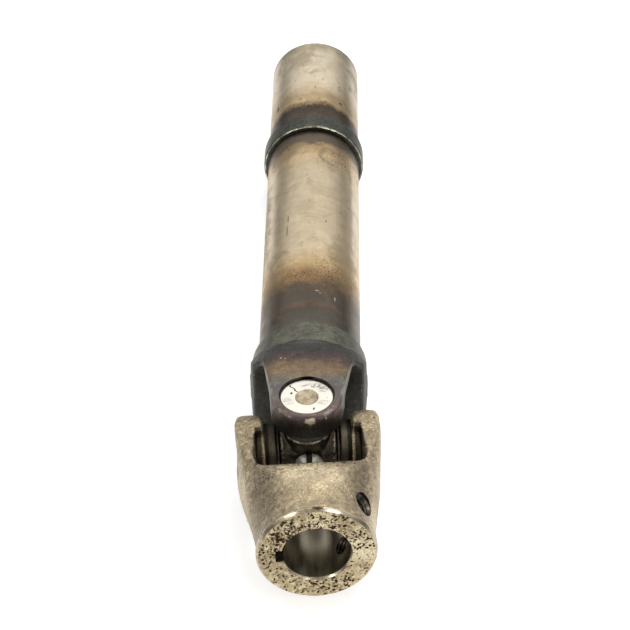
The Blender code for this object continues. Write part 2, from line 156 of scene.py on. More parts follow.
def in_scene(name, data):
    obj = bpy.data.objects.new(name, data)
    bpy.context.scene.collection.objects.link(obj)
    return obj


@contextlib.contextmanager
def editing(mesh):
    """A mesh as a bmesh, which is written back at the end."""
    shape = bmesh.new()
    shape.from_mesh(mesh)
    yield shape
    shape.to_mesh(mesh)
    shape.free()


def build(name, points=(), faces=()):
    """An object in millimetres, still at the origin, with its faces turned outwards."""
    mesh = bpy.data.meshes.new(name)
    mesh.from_pydata([tuple(float(value) * MM for value in point) for point in points], [], faces)
    with editing(mesh) as shape:
        bmesh.ops.recalc_face_normals(shape, faces=shape.faces)
    return in_scene(name, mesh)


def softened(profile, closed=False):
    """Rounds the corners of a profile. A point is (radius, height) or (radius, height, corner radius)."""
    result = []
    count = len(profile)
    for i, point in enumerate(profile):
        here = Vector(point[:2])
        corner = point[2] if len(point) > 2 else 0.0
        inside = closed or 0 < i < count - 1
        if not corner or not inside:
            result.append(tuple(here))
            continue
        before = Vector(profile[i - 1][:2]) - here
        after = Vector(profile[(i + 1) % count][:2]) - here
        half = before.angle(after) / 2
        cut = min(corner / math.tan(half), 0.49 * before.length, 0.49 * after.length)
        first = here + before.normalized() * cut
        last = here + after.normalized() * cut
        steps = 5
        for step in range(steps + 1):
            t = step / steps
            result.append(tuple(first.lerp(here, t).lerp(here.lerp(last, t), t)))
    return result


def turned(name, profile, steps=128, closed=False):
    """A profile of (radius, height) turned about local Z. Points on the axis become poles."""
    points, rings, faces = [], [], []
    turns = [2 * math.pi * i / steps for i in range(steps)]
    outline = softened(profile, closed)
    for radius, height in outline:
        start = len(points)
        if radius < 1e-6:
            points.append((0, 0, height))
            rings.append([start] * steps)
        else:
            points += [(radius * math.cos(a), radius * math.sin(a), height) for a in turns]
            rings.append(list(range(start, start + steps)))
    pairs = list(zip(rings, rings[1:]))
    if closed:
        pairs.append((rings[-1], rings[0]))
    for low, high in pairs:
        for i in range(steps):
            j = (i + 1) % steps
            face = list(dict.fromkeys((low[i], low[j], high[j], high[i])))
            if len(face) > 2:
                faces.append(face)
    return build(name, points, faces)


def cylinder(name, radius, start, end, steps=96):
    return turned(name, [(0, start), (radius, start), (radius, end), (0, end)], steps)


def block(name, size, centre):
    obj = build(name)
    sides = Matrix.Diagonal((*(Vector(size) * MM), 1))
    with editing(obj.data) as shape:
        bmesh.ops.create_cube(shape, size=1, matrix=Matrix.Translation(Vector(centre) * MM) @ sides)
    return obj


def tap(name, start, end, steps=40, rows_per_pitch=8):
    """The screw-shaped core that a tap leaves as a hole, about local Z."""
    rows = int((end - start) / SCREW_PITCH * rows_per_pitch)
    points, faces = [], []
    for row in range(rows + 1):
        height = start + (end - start) * row / rows
        for i in range(steps):
            phase = (height / SCREW_PITCH - i / steps) % 1.0
            ridge = min(1, 1.25 * (1 - abs(2 * phase - 1)))
            radius = SCREW_MINOR_R + (SCREW_MAJOR_R - SCREW_MINOR_R) * ridge
            angle = 2 * math.pi * i / steps
            points.append((radius * math.cos(angle), radius * math.sin(angle), height))
    for row in range(rows):
        for i in range(steps):
            j = (i + 1) % steps
            low, high = row * steps, (row + 1) * steps
            faces.append((low + i, low + j, high + j, high + i))
    faces.append(tuple(range(steps)))
    faces.append(tuple(range(rows * steps, (rows + 1) * steps)))
    return build(name, points, faces)


def applied(obj):
    """Makes an object's modifiers part of its mesh."""
    graph = bpy.context.evaluated_depsgraph_get()
    mesh = bpy.data.meshes.new_from_object(obj.evaluated_get(graph))
    obj.modifiers.clear()
    old, obj.data = obj.data, mesh
    bpy.data.meshes.remove(old)
    return obj


def moved(obj, matrix):
    """Moves a shape inside its frame, by moving its points."""
    scaled = matrix.copy()
    scaled.translation = matrix.translation * MM
    obj.data.transform(scaled)
    return obj


def boolean(obj, others, operation, finish=None):
    """Joins or cuts with other objects, which are used up. The new faces take the other's material."""
    for other in others:
        if finish:
            other.data.materials.clear()
            other.data.materials.append(finish)
        modifier = obj.modifiers.new("Boolean", "BOOLEAN")
        modifier.operation = operation
        modifier.object = other
        modifier.solver = "MANIFOLD"
        modifier.material_mode = "TRANSFER"
    applied(obj)
    for other in others:
        mesh = other.data
        bpy.data.objects.remove(other)
        bpy.data.meshes.remove(mesh)


def vectors_of(values, key):
    vectors = np.empty(len(values) * 3, np.float32)
    values.foreach_get(key, vectors)
    return vectors.reshape(-1, 3).astype(np.float64)


def points_of(obj):
    return vectors_of(obj.data.vertices, "co") / MM


def set_points(obj, points):
    obj.data.vertices.foreach_set("co", (points * MM).astype(np.float32).ravel())
    obj.data.update()


def remeshed(obj, voxel):
    remesh = obj.modifiers.new("Remesh", "REMESH")
    remesh.mode = "VOXEL"
    remesh.voxel_size = voxel * MM
    return applied(obj)


def smoother(obj):
    """A function that moves every point towards the middle of its neighbours."""
    count = len(obj.data.vertices)
    edges = np.empty(len(obj.data.edges) * 2, np.int32)
    obj.data.edges.foreach_get("vertices", edges)
    edges = edges.reshape(-1, 2)
    here = np.concatenate([edges[:, 0], edges[:, 1]])
    there = np.concatenate([edges[:, 1], edges[:, 0]])
    degree = np.bincount(here, minlength=count)[:, None]

    def smooth(values, rounds, share=0.5):
        """share is one number, or one for each point."""
        share = np.reshape(share, (-1, 1))
        for _ in range(rounds):
            sums = [np.bincount(here, values[there, k], count) for k in range(values.shape[1])]
            values = values + share * (np.stack(sums, axis=1) / degree - values)
        return values

    return smooth


def normals_of(obj):
    return vectors_of(obj.data.vertex_normals, "vector")


def grain(points, size, octaves):
    """Fractal noise at each point, about -1 to 1, with lumps about size millimetres across."""
    return np.array([noise.fractal(Vector(point) / size, 1, 2, octaves) for point in points])


def eased(values, low, high):
    """0 below low and 1 above high, with a smooth step between. low may be the greater."""
    share = np.clip((values - low) / (high - low), 0, 1)
    return share * share * (3 - 2 * share)


def forged_copy(name, node, local, stock, voxel, rounds, rough, blend=None, blend_rounds=0):
    """A CAD node's mesh with its machined holes filled, remeshed finely, its edges worn and its skin rough.

    rough is a list of (depth, lump size, octaves). blend(points) says, from 0 to 1, where the shape is
    smoothed by blend_rounds more. The attribute "relief" holds how far each point stands out from its
    surroundings, in millimetres.
    """
    mesh = frame["nodes"][node].data.copy()
    mesh.transform(local.inverted())
    with editing(mesh) as shape:
        for piece in stock:
            shape.from_mesh(piece.data)
            bpy.data.objects.remove(piece)
    mesh.materials.clear()
    obj = remeshed(in_scene(name, mesh), voxel)
    smooth = smoother(obj)
    points = smooth(points_of(obj), rounds)
    if blend:
        points = smooth(points, blend_rounds, 0.5 * blend(points))
    set_points(obj, points)
    normals = normals_of(obj)
    for depth, size, octaves in rough:
        hollow = 0.5 - 0.5 * np.clip(grain(points, size, octaves), -1, 1)
        points = points - normals * (depth * hollow)[:, None]
    set_points(obj, points)
    relief = ((points - smooth(points, 24)) * normals).sum(axis=1)
    keep_relief(obj, smooth(relief[:, None], 2)[:, 0])
    return obj


def keep_relief(obj, relief):
    obj.data.attributes.new("relief", "FLOAT", "POINT").data.foreach_set("value", relief.astype(np.float32))


def finished(obj, local, body, node, material=None, axes=None):
    """Places a shape in its frame, and says which body, CAD node and finish it stands for.

    With axes, the object's own axes are those, and its points are moved to stay in place.
    """
    if material:
        obj.data.materials.clear()
        obj.data.materials.append(material)
    if axes:
        obj.data.transform(axes.inverted() @ local)
        local = axes
    obj.data.shade_smooth()
    obj.data.set_sharp_from_angle(angle=math.radians(SHARP_EDGE_DEG))
    obj.matrix_world = local
    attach(obj, body)
    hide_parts(node)


# ---------------------------------------------------------------- materials

def feed(tree, socket, value):
    """Links a socket to an output, or gives it a plain value."""
    if isinstance(value, bpy.types.NodeSocket):
        tree.links.new(value, socket)
    elif isinstance(value, tuple) and socket.type == "RGBA":
        socket.default_value = (*value, 1)
    else:
        socket.default_value = value


def add_node(tree, kind, inputs, output=0, **settings):
    """Adds a shader node and returns one of its outputs. inputs says what feeds each input, or None."""
    node = tree.nodes.new("ShaderNode" + kind)
    for setting, value in settings.items():
        setattr(node, setting, value)
    for key, value in inputs.items():
        if value is not None:
            feed(tree, node.inputs[key], value)
    return node.outputs[output]


def add_ramp(tree, value, stops):
    """A colour for each (place, colour) along a value from 0 to 1."""
    result = add_node(tree, "ValToRGB", {0: value})
    elements = result.node.color_ramp.elements
    while len(elements) < len(stops):
        elements.new(0.5)
    for element, (position, colour) in zip(elements, stops):
        element.position = position
        element.color = (*colour, 1)
    return result


class Paint:
    """A material's nodes, with a short call for each kind. Lengths are millimetres in the piece's frame."""

    def __init__(self, name, metallic, roughness):
        self.material = bpy.data.materials.new(name)
        self.material.use_nodes = True
        self.tree = self.material.node_tree
        self.shader = self.tree.nodes["Principled BSDF"].inputs
        self.shader["Metallic"].default_value = metallic
        self.shader["Roughness"].default_value = roughness
        coordinates = self.node("TexCoord", {}, "Object")
        self.place = self.node("VectorMath", {0: coordinates, "Scale": 1 / MM}, operation="SCALE")
        self.colour = None
        self.normal = None

    def node(self, kind, inputs, output=0, **settings):
        return add_node(self.tree, kind, inputs, output, **settings)

    def vector(self, operation, first, second=None):
        output = "Value" if operation in ("LENGTH", "DOT_PRODUCT") else "Vector"
        return self.node("VectorMath", {0: first, 1: second}, output, operation=operation)

    def maths(self, operation, first, second=None):
        return self.node("Math", {0: first, 1: second}, operation=operation)

    def times(self, first, second):
        return self.maths("MULTIPLY", first, second)

    def plus(self, first, second):
        return self.maths("ADD", first, second)

    def most(self, first, second):
        return self.maths("MAXIMUM", first, second)

    def axis(self, letter):
        return self.node("SeparateXYZ", {0: self.place}, letter.upper())

    def from_axis(self, direction):
        """Distance from the line through the origin along a direction."""
        return self.vector("LENGTH", self.vector("CROSS_PRODUCT", self.place, direction))

    def spread(self, value, low, high, new_low=0, new_high=1, smooth=False):
        kind = "SMOOTHSTEP" if smooth else "LINEAR"
        numbers = dict(enumerate((value, low, high, new_low, new_high)))
        return self.node("MapRange", numbers, interpolation_type=kind)

    def vary(self, noise, low=0, high=1):
        """A noise, most of which lies between 0.3 and 0.7, spread from low to high."""
        return self.spread(noise, 0.3, 0.7, low, high)

    def sized(self, size, stretch, shift):
        """The place in units of size, stretched along the axes and moved."""
        spot = self.vector("MULTIPLY", self.place, tuple(1 / (size * part) for part in stretch))
        return self.vector("ADD", spot, shift) if any(shift) else spot

    def noise(self, size, detail=2, roughness=0.5, stretch=(1, 1, 1), distortion=0, shift=0):
        """Noise with lumps about size across, longer along an axis by its stretch. About 0.25 to 0.75."""
        inputs = {"Vector": self.sized(size, stretch, (shift, 1.7 * shift, -shift)), "Scale": 1}
        inputs.update({"Detail": detail, "Roughness": roughness, "Distortion": distortion})
        return self.node("TexNoise", inputs)

    def cells(self, size, stretch=(1, 1, 1), shift=0):
        """Distance from scattered points, in cells: small near a point."""
        spot = self.sized(size, stretch, (shift, -shift, 1.3 * shift))
        return self.node("TexVoronoi", {"Vector": spot, "Scale": 1}, "Distance")

    def relief(self):
        return self.node("Attribute", {}, "Fac", attribute_name="relief")

    def spot(self, centre, size, ragged=None, soft=0.6):
        """1 within an ellipsoid of that half-size and 0 outside, with a soft edge that ragged breaks up."""
        away = self.vector("SUBTRACT", self.place, centre)
        distance = self.vector("LENGTH", self.vector("MULTIPLY", away, tuple(1 / part for part in size)))
        if ragged:
            distance = self.plus(distance, self.vary(ragged, -0.4, 0.4))
        return self.spread(distance, 1 + soft / 2, 1 - soft / 2, smooth=True)

    def ramp(self, value, *stops):
        return add_ramp(self.tree, value, stops)

    def bands(self, value, low, high, stops):
        """A colour for each (place, colour) along a value from low to high."""
        shares = [((place - low) / (high - low), colour) for place, colour in stops]
        return self.ramp(self.spread(value, low, high), *shares)

    def mix(self, share, first, second):
        return self.node("Mix", {0: share, 6: first, 7: second}, 2, data_type="RGBA")

    def cover(self, share, tint):
        self.colour = self.mix(share, self.colour, tint)

    def marks(self, tint, ragged, spots):
        """Marks of one tint, each (centre, half-size)."""
        for centre, size in spots:
            self.cover(self.spot(centre, size, ragged), tint)

    def washes(self, ragged, soft, spots):
        """Washes of colour, each (centre, half-size, tint, strength)."""
        for centre, size, tint, strength in spots:
            self.cover(self.times(self.spot(centre, size, ragged, soft), strength), tint)

    def shaded(self, colour, value, amount):
        """A colour lightened and darkened by a value from 0 to 1, around its middle."""
        factor = self.spread(value, 0.25, 0.75, 1 - amount, 1 + amount)
        return self.node("VectorMath", {0: colour, "Scale": factor}, operation="SCALE")

    def shade(self, value, amount):
        self.colour = self.shaded(self.colour, value, amount)

    def bump(self, height, depth):
        """Adds relief of that depth, in millimetres, from a height of 0 to 1."""
        inputs = {"Distance": depth * MM, "Height": height, "Normal": self.normal}
        self.normal = self.node("Bump", inputs)

    def done(self, roughness):
        feed(self.tree, self.shader["Base Color"], self.colour)
        feed(self.tree, self.shader["Roughness"], roughness)
        if self.normal:
            feed(self.tree, self.shader["Normal"], self.normal)
        return self.material


def tube_steel(name, seed, stops, low, high, stains_and_dark_reflections=(), peppered=(), gouges=(), glints=()):
    """Drawn tube, heat-tinted from its welds. stops are (distance along the shaft, colour) from low to high.

    Stains and painted dark reflections are each (centre, half-size, strength), any other mark (centre,
    half-size), in the tube's frame, where X is right, -Y is up and Z is along the shaft.
    """
    paint = Paint(name, 1, 0.35)
    along = paint.axis("z")
    wander = paint.vary(paint.noise(14, 5, 0.6, shift=seed), -3.4, 3.4)
    speckle = paint.vary(paint.noise(1.1, 2, 0.6, shift=seed), -1.3, 1.3)
    blurred = paint.plus(paint.plus(along, wander), speckle)
    paint.colour = paint.bands(blurred, low, high, stops)
    brushed = paint.noise(0.5, 4, 0.6, stretch=(1, 1, 60), shift=seed)
    paint.shade(brushed, 0.05)
    fine_rings = paint.noise(0.8, 4, 0.65, stretch=(14, 14, 1), shift=seed)
    paint.shade(fine_rings, 0.12)
    clouds = paint.noise(7, 5, 0.65, distortion=0.6, shift=seed + 2)
    paint.shade(clouds, 0.17)
    stain = paint.noise(16, 5, 0.62, distortion=0.8, shift=seed + 3)
    stain_and_dark_reflection = paint.spread(stain, 0.52, 0.68, 0, 0.42, smooth=True)
    for centre, size, strength in stains_and_dark_reflections:
        patch = paint.times(paint.spot(centre, size, clouds, 1), strength)
        stain_and_dark_reflection = paint.most(stain_and_dark_reflection, patch)
    paint.cover(stain_and_dark_reflection, (0.2, 0.15, 0.092))
    spots = paint.cells(2.6, stretch=(1, 1, 1.6), shift=seed)
    few = paint.spread(paint.noise(5, 2, shift=seed + 9), 0.56, 0.66)
    rust = paint.times(paint.spread(spots, 0.2, 0.1), few)
    for centre, size in peppered:
        dots = paint.spread(paint.noise(0.75, 2, 0.6, shift=seed + 4), 0.565, 0.61)
        dots = paint.times(dots, paint.spot(centre, size, clouds, 1))
        rust = paint.most(rust, dots)
    paint.cover(paint.times(rust, 0.85), (0.07, 0.045, 0.025))
    scratch = paint.cells(3.4, stretch=(1, 1, 9), shift=seed + 5)
    scratched = paint.spread(scratch, 0.05, 0.015, 0, 0.7)
    for centre, size in gouges:
        scratched = paint.most(scratched, paint.spot(centre, size, clouds))
    paint.cover(scratched, (0.075, 0.058, 0.04))
    paint.marks((0.4, 0.35, 0.26), clouds, glints)
    paint.bump(brushed, 0.02)
    paint.bump(fine_rings, 0.012)
    paint.bump(rust, -0.05)
    paint.bump(scratched, -0.03)
    dull = paint.plus(paint.spread(stain_and_dark_reflection, 0, 0.42, 0.3, 0.46), paint.vary(brushed, -0.04, 0.06))
    return paint.done(dull)


STEEL = (0.62, 0.508, 0.345)
BROWN = (0.122, 0.09, 0.064)
SCALE_GREY = (0.105, 0.093, 0.074)
UMBER = (0.105, 0.078, 0.056)

FRONT_STEEL = tube_steel(
    "front_tube_steel",
    2,
    [
        (58, (0.135, 0.125, 0.1)), (62, SCALE_GREY), (70, (0.098, 0.086, 0.07)),
        (73, (0.15, 0.1, 0.07)), (76, SCALE_GREY), (87.5, BROWN), (91.5, (0.24, 0.16, 0.088)),
        (96, (0.33, 0.208, 0.1)), (105, (0.56, 0.4, 0.205)), (122, STEEL), (182, STEEL),
        (198, (0.62, 0.47, 0.275)), (207, (0.46, 0.315, 0.165)), (210, (0.15, 0.118, 0.084)),
        (219, (0.13, 0.104, 0.076)),
    ],
    50,
    225,
    stains_and_dark_reflections=[
        ((-16, -18, 206), (9, 9, 12), 0.5),
        ((-20, -13, 100), (6, 9, 22), 0.45),
        ((17, -17, 112), (8, 9, 20), 0.4),
        # These two long streaks down the tube's sides are painted dark reflections.
        ((-24, -4, 150), (4, 9, 52), 0.5),
        ((18.3, -15.8, 150), (3.2, 4, 66), 0.34),
    ],
    peppered=[
        ((11, -21, 97), (11, 8, 13)),
        ((-2, -24, 93), (12, 8, 8)),
        ((-23, -6, 150), (3, 7, 26)),
        ((12, -20, 196), (8, 8, 10)),
    ],
    gouges=[
        ((-11.6, -21.2, 144), (0.24, 1, 4)),
        ((-11.9, -21, 135), (0.18, 1, 4.5)),
        ((-24, -4.4, 152), (1.5, 1.3, 2.6)),
        ((-23.9, -3.6, 141), (1.5, 0.8, 4)),
        ((-23.8, -4.6, 163), (1.5, 0.7, 2.2)),
        ((7.5, -23.1, 140), (0.4, 1, 0.5)),
    ],
    glints=[
        ((3.6, -23.9, 83.5), (1, 1, 0.5)),
        ((5, -23.7, 82), (0.5, 1, 0.4)),
        ((12, -21, 80.5), (0.3, 1, 1.3)),
    ],
)
REAR_STEEL = tube_steel(
    "rear_tube_steel",
    7,
    [
        (232, UMBER), (242.5, (0.062, 0.046, 0.033)), (246.5, (0.34, 0.235, 0.13)),
        (249, (0.56, 0.42, 0.24)), (255, (0.5, 0.375, 0.22)), (262, (0.62, 0.5, 0.33)),
        (270, (0.74, 0.635, 0.465)), (300, (0.74, 0.635, 0.465)), (308, (0.56, 0.47, 0.34)),
    ],
    225,
    312,
    stains_and_dark_reflections=[
        ((-8, -22, 293), (8, 8, 8), 0.42),
        ((-19, -12, 264), (7, 10, 16), 0.12),
        ((13, -20, 253), (9, 9, 6), 0.35),
        ((-8, -22, 304), (12, 9, 4), 0.35),
    ],
    gouges=[((14.5, -19.3, 252.5), (0.8, 1, 0.7)), ((-19.5, -14.2, 255), (0.6, 1, 2.6))],
)


def two_tone(name, metallic, roughness, coarse, ends, tones, dull, fine=None, depth=0, grain=0):
    """A finish that a coarse noise, given by its arguments, takes from one tone to the other between ends.

    dull is its roughness as that noise varies. A fine noise, or the same one, bumps it and shades it.
    """
    paint = Paint(name, metallic, roughness)
    patches = paint.noise(*coarse)
    grains = paint.noise(*fine) if fine else patches
    paint.colour = paint.mix(paint.spread(patches, *ends), *tones)
    if grain:
        paint.shade(grains, grain)
    paint.bump(grains, depth)
    return paint.done(paint.vary(patches, *dull))


def turned_steel():
    """Faced ends of the tube: concentric tool marks."""
    paint = Paint("turned_end_steel", 1, 0.35)
    around = paint.from_axis((0, 0, 1))
    marks = paint.maths("SINE", paint.times(around, 18))
    fine = paint.noise(0.8, 3, 0.6)
    paint.colour = paint.shaded((0.5, 0.43, 0.33), fine, 0.25)
    paint.bump(paint.spread(marks, -1, 1), 0.02)
    return paint.done(paint.vary(fine, 0.28, 0.45))


def forged_steel():
    """The tube yoke: dark forging with heat tint spreading from the weld, bright worn edges and painted shade.
    """
    paint = Paint("forged_yoke_steel", 1, 0.45)
    along = paint.axis("y")
    wander = paint.vary(paint.noise(9, 4, 0.6), -3, 3)
    stops = [
        (-16, (0.098, 0.072, 0.066)), (-8, (0.165, 0.126, 0.114)), (3, (0.15, 0.136, 0.128)),
        (10, (0.165, 0.158, 0.132)), (15, (0.255, 0.19, 0.122)), (21, (0.245, 0.172, 0.108)),
        (27, (0.15, 0.102, 0.088)), (31, (0.112, 0.086, 0.084)), (35, (0.1, 0.098, 0.094)),
        (43, (0.125, 0.124, 0.112)), (50, (0.155, 0.15, 0.122)), (57, (0.14, 0.132, 0.1)),
    ]
    paint.colour = paint.bands(paint.plus(along, wander), -18, 58, stops)
    height = paint.maths("ABSOLUTE", paint.axis("z"))
    # Painted shade on the flanks below the pads, in front of the fork's floor.
    flank_shade = paint.times(paint.spread(height, 31, 25, smooth=True), paint.spread(along, 44, 40))
    paint.cover(flank_shade, (0.062, 0.058, 0.05))
    streaks = paint.noise(0.9, 4, 0.65, stretch=(1, 1, 14))
    paint.shade(streaks, 0.28)
    mottle = paint.noise(3, 5, 0.65)
    paint.shade(mottle, 0.3)
    fine = paint.noise(0.55, 3, 0.6)
    paint.shade(fine, 0.16)
    relief = paint.relief()
    worn = paint.spread(paint.plus(relief, paint.vary(mottle, -0.06, 0.06)), 0.13, 0.24)
    worn = paint.times(worn, paint.spread(height, 25.5, 28.5))
    paint.cover(paint.times(worn, 0.5), (0.42, 0.37, 0.29))
    fray = paint.noise(1.3, 3, 0.65, shift=2)
    # The first, on the ear's tip, is a painted highlight over wear; the others are scuffs.
    scuffs_and_highlight = (
        ((1.8, -15.6, 30.3), (2.6, 1.4, 1.7)),
        ((-12, 27, 31.2), (0.5, 0.4, 2)),
        ((-10, 26.4, 31.2), (0.6, 0.3, 2)),
        ((14, 38, 30), (0.7, 0.6, 2)),
        ((8.6, -13.4, 30.6), (0.6, 0.5, 1)),
    )
    paint.marks((0.66, 0.565, 0.41), fray, scuffs_and_highlight)
    # Darker in the hollows: dirt and painted shade.
    paint.cover(paint.spread(relief, -0.03, -0.12), (0.035, 0.03, 0.025))
    flecks = paint.times(paint.spread(paint.cells(2.2), 0.16, 0.08), paint.spread(mottle, 0.55, 0.62))
    paint.cover(flecks, (0.42, 0.34, 0.25))
    paint.bump(fine, 0.05)
    paint.bump(mottle, 0.12)
    return paint.done(paint.spread(worn, 0, 1, 0.47, 0.32))


def band_steel(name, colour, seed):
    """Turned green-grey weld base and collar: fine tool marks, pits and a few rust flecks."""
    paint = Paint(name, 1, 0.42)
    mottle = paint.noise(2.4, 4, 0.65, shift=seed)
    fine = paint.noise(0.5, 3, 0.6, shift=seed)
    paint.colour = paint.shaded(colour, mottle, 0.45)
    paint.shade(fine, 0.35)
    wide = paint.noise(8, 4, 0.6, shift=seed + 4)
    paint.cover(paint.spread(wide, 0.45, 0.65, 0, 0.6), tuple(1.6 * part for part in colour))
    rust = paint.spread(paint.cells(1.5, shift=seed), 0.22, 0.12)
    spots = paint.times(rust, paint.spread(mottle, 0.5, 0.6))
    paint.cover(spots, (0.07, 0.045, 0.03))
    bright = paint.spread(paint.cells(2.1, shift=seed + 6), 0.13, 0.07)
    glints = paint.times(bright, paint.spread(wide, 0.5, 0.56))
    paint.cover(glints, (0.55, 0.5, 0.4))
    paint.bump(mottle, 0.05)
    paint.bump(fine, 0.03)
    paint.bump(spots, -0.06)
    return paint.done(paint.vary(fine, 0.36, 0.52))


def on_hub(up, along, right):
    """A place on the hub, in the axes of its object."""
    return tuple(HUB.to_3x3() @ Vector((up, along, right)))


HUB_SHAFT_AXIS = on_hub(0, 1, 0)
HUB_EAR_AXIS = on_hub(0, 0, 1)


def cast_steel():
    """The hub yoke's blasted casting: warm grey grain, pits, dirt in the corners, brighter edges and painted
    light and shade.
    """
    paint = Paint("cast_hub_steel", 1, 0.5)
    wide = paint.noise(7, 5, 0.62)
    coarse = paint.noise(2, 5, 0.7)
    fine = paint.noise(0.62, 3, 0.65, shift=3)
    paint.colour = paint.ramp(
        paint.vary(wide),
        (0, (0.33, 0.268, 0.172)), (0.5, (0.48, 0.392, 0.258)), (1, (0.6, 0.49, 0.318)),
    )
    # Painted light and shade: a highlight on top, shade down the sides and left ear, a lighter patch low on
    # the right.
    washes = (
        (on_hub(24.5, 41, -1), (15, 8.5, 10), (0.98, 0.84, 0.58), 0.58),
        (on_hub(24.5, 58, 2), (10, 5, 12), (0.42, 0.335, 0.21), 0.4),
        (on_hub(19, 46, -22), (9, 24, 12), (0.2, 0.16, 0.11), 0.6),
        (on_hub(8, 55, -26), (7, 16, 12), (0.22, 0.18, 0.125), 0.55),
        (on_hub(22, 40, 19), (8, 11, 8), (0.22, 0.175, 0.115), 0.6),
        (on_hub(20, 52, 21), (5, 12, 8), (0.24, 0.19, 0.13), 0.55),
        (on_hub(6, 57, 25), (9, 9, 6), (0.82, 0.7, 0.5), 0.65),
        (on_hub(12, 6, -29.5), (13, 22, 7), (0.27, 0.215, 0.14), 0.5),
    )
    paint.washes(coarse, 1.2, washes)
    paint.shade(coarse, 0.52)
    paint.shade(fine, 0.48)
    along = paint.vector("DOT_PRODUCT", paint.place, HUB_SHAFT_AXIS)
    sand = paint.noise(0.95, 3, 0.7, shift=12)
    paint.cover(paint.spread(along, 38, 24), paint.shaded(paint.colour, sand, 0.62))
    relief = paint.relief()
    paint.cover(paint.spread(relief, 0.04, 0.3, 0, 0.55), (0.62, 0.53, 0.39))
    # Darker in the hollows: dirt and painted shade.
    paint.cover(paint.spread(relief, -0.04, -0.3, 0, 0.85), (0.055, 0.042, 0.028))
    # Painted shade, near black, in the slots between the ears' walls and their bosses.
    across = paint.maths("ABSOLUTE", paint.vector("DOT_PRODUCT", paint.place, HUB_EAR_AXIS))
    ragged = paint.vary(coarse, -0.7, 0.7)
    from_ear_axis = paint.from_axis(HUB_EAR_AXIS)
    slot_shade = paint.spread(paint.plus(across, ragged), 24.2, 23.4)
    for share in (
        paint.most(paint.spread(along, 1.5, 3.5), paint.spread(from_ear_axis, 15.2, 14.6)),
        paint.spread(along, 32.4, 31.4),
        paint.spread(across, 20.3, 20.9, 0.25, 1),
    ):
        slot_shade = paint.times(slot_shade, share)
    paint.cover(paint.times(slot_shade, 0.94), (0.034, 0.027, 0.018))
    speckled = paint.spread(paint.noise(0.9, 3, 0.65, shift=6), 0.52, 0.58)
    for centre, size in (
        (on_hub(24.5, 35, -8), (13, 2.4, 6)),
        (on_hub(24.5, 35.4, 13), (7, 2.4, 6)),
        (on_hub(21, 40, -20), (7, 3.5, 6)),
        (on_hub(16, -13, 24), (6, 5, 5)),
        (on_hub(16, -13, -24), (6, 5, 5)),
    ):
        dots = paint.times(paint.spot(centre, size, coarse, 1), speckled)
        paint.cover(dots, (0.05, 0.038, 0.026))
    dent = (on_hub(15, 0, 29.8), (0.9, 0.9, 0.9))
    paint.marks((0.02, 0.016, 0.012), fine, [dent])
    pits = paint.times(paint.spread(paint.cells(1.7), 0.22, 0.13), paint.spread(coarse, 0.5, 0.58))
    paint.cover(pits, (0.05, 0.036, 0.022))
    paint.bump(coarse, 0.16)
    paint.bump(fine, 0.08)
    paint.bump(pits, -0.12)
    return paint.done(paint.vary(coarse, 0.42, 0.56))


def faced_steel():
    """The hub's turned face: bright, with turning marks and painted light and shade, speckled with rust-filled
    pits.
    """
    paint = Paint("hub_face_steel", 1, 0.35)
    around = paint.from_axis(HUB_SHAFT_AXIS)
    waver = paint.vary(paint.noise(6, 2), -0.5, 0.5)
    marks = paint.maths("SINE", paint.times(paint.plus(around, waver), 9))
    mottle = paint.noise(2.6, 4, 0.65)
    fine = paint.noise(0.6, 3, 0.65)
    paint.colour = paint.ramp(
        paint.vary(mottle),
        (0, (0.3, 0.225, 0.12)), (0.45, (0.54, 0.435, 0.262)), (1, (0.86, 0.735, 0.49)),
    )
    # Painted light and shade: the right and top of the face lighter, the left darker.
    washes = (
        (on_hub(2, HUB_FACE, 22), (17, 9, 6), (0.96, 0.83, 0.57), 0.6),
        (on_hub(20, HUB_FACE, 2), (5, 9, 16), (0.95, 0.8, 0.52), 0.55),
        (on_hub(-2, HUB_FACE, -21), (16, 9, 7), (0.36, 0.28, 0.165), 0.6),
    )
    paint.washes(mottle, 1, washes)
    paint.shade(fine, 0.42)
    paint.shade(paint.spread(marks, -1, 1, 0.3, 0.7), 0.1)
    clump = paint.spread(paint.noise(4.5, 3, 0.6, shift=5), 0.35, 0.65, -0.02, 0.03)
    for centre, size in (
        (on_hub(15, HUB_FACE, -9), (9, 9, 7)),
        (on_hub(18, HUB_FACE, 5), (8, 9, 6)),
        (on_hub(6, HUB_FACE, 19), (9, 9, 7)),
        (on_hub(-19.5, HUB_FACE, 4), (11, 9, 6)),
        (on_hub(7, HUB_FACE, -18), (10, 9, 10)),
    ):
        clump = paint.plus(clump, paint.times(paint.spot(centre, size, mottle, 1), 0.035))
    round_pits = paint.spread(paint.cells(1.75, shift=2), 0, 0.5, 0.68, 0.44)
    blobs = paint.mix(0.45, round_pits, paint.noise(1, 3, 0.6, shift=8))
    pits = paint.spread(paint.plus(blobs, clump), 0.523, 0.566)
    paint.cover(pits, (0.06, 0.036, 0.018))
    paint.bump(paint.spread(marks, -1, 1), 0.012)
    paint.bump(pits, -0.12)
    paint.bump(fine, 0.03)
    return paint.done(paint.spread(pits, 0, 1, 0.33, 0.75))


def polished_steel():
    """The rubbed edges of the hub's face: nearly bare, with a few brown flecks and a painted shadow line at
    the top.
    """
    paint = Paint("polished_rim_steel", 1, 0.2)
    flecks = paint.noise(2.2, 4, 0.6)
    paint.colour = paint.mix(paint.spread(flecks, 0.46, 0.66), (0.6, 0.52, 0.38), (0.34, 0.255, 0.155))
    # A painted shadow line along the top of the rim.
    shadow_strip = (on_hub(26, HUB_FACE - 1.6, 0.5), (2.5, 1.1, 8.5))
    paint.marks((0.06, 0.045, 0.03), flecks, [shadow_strip])
    paint.bump(flecks, 0.006)
    return paint.done(paint.vary(flecks, 0.16, 0.26))


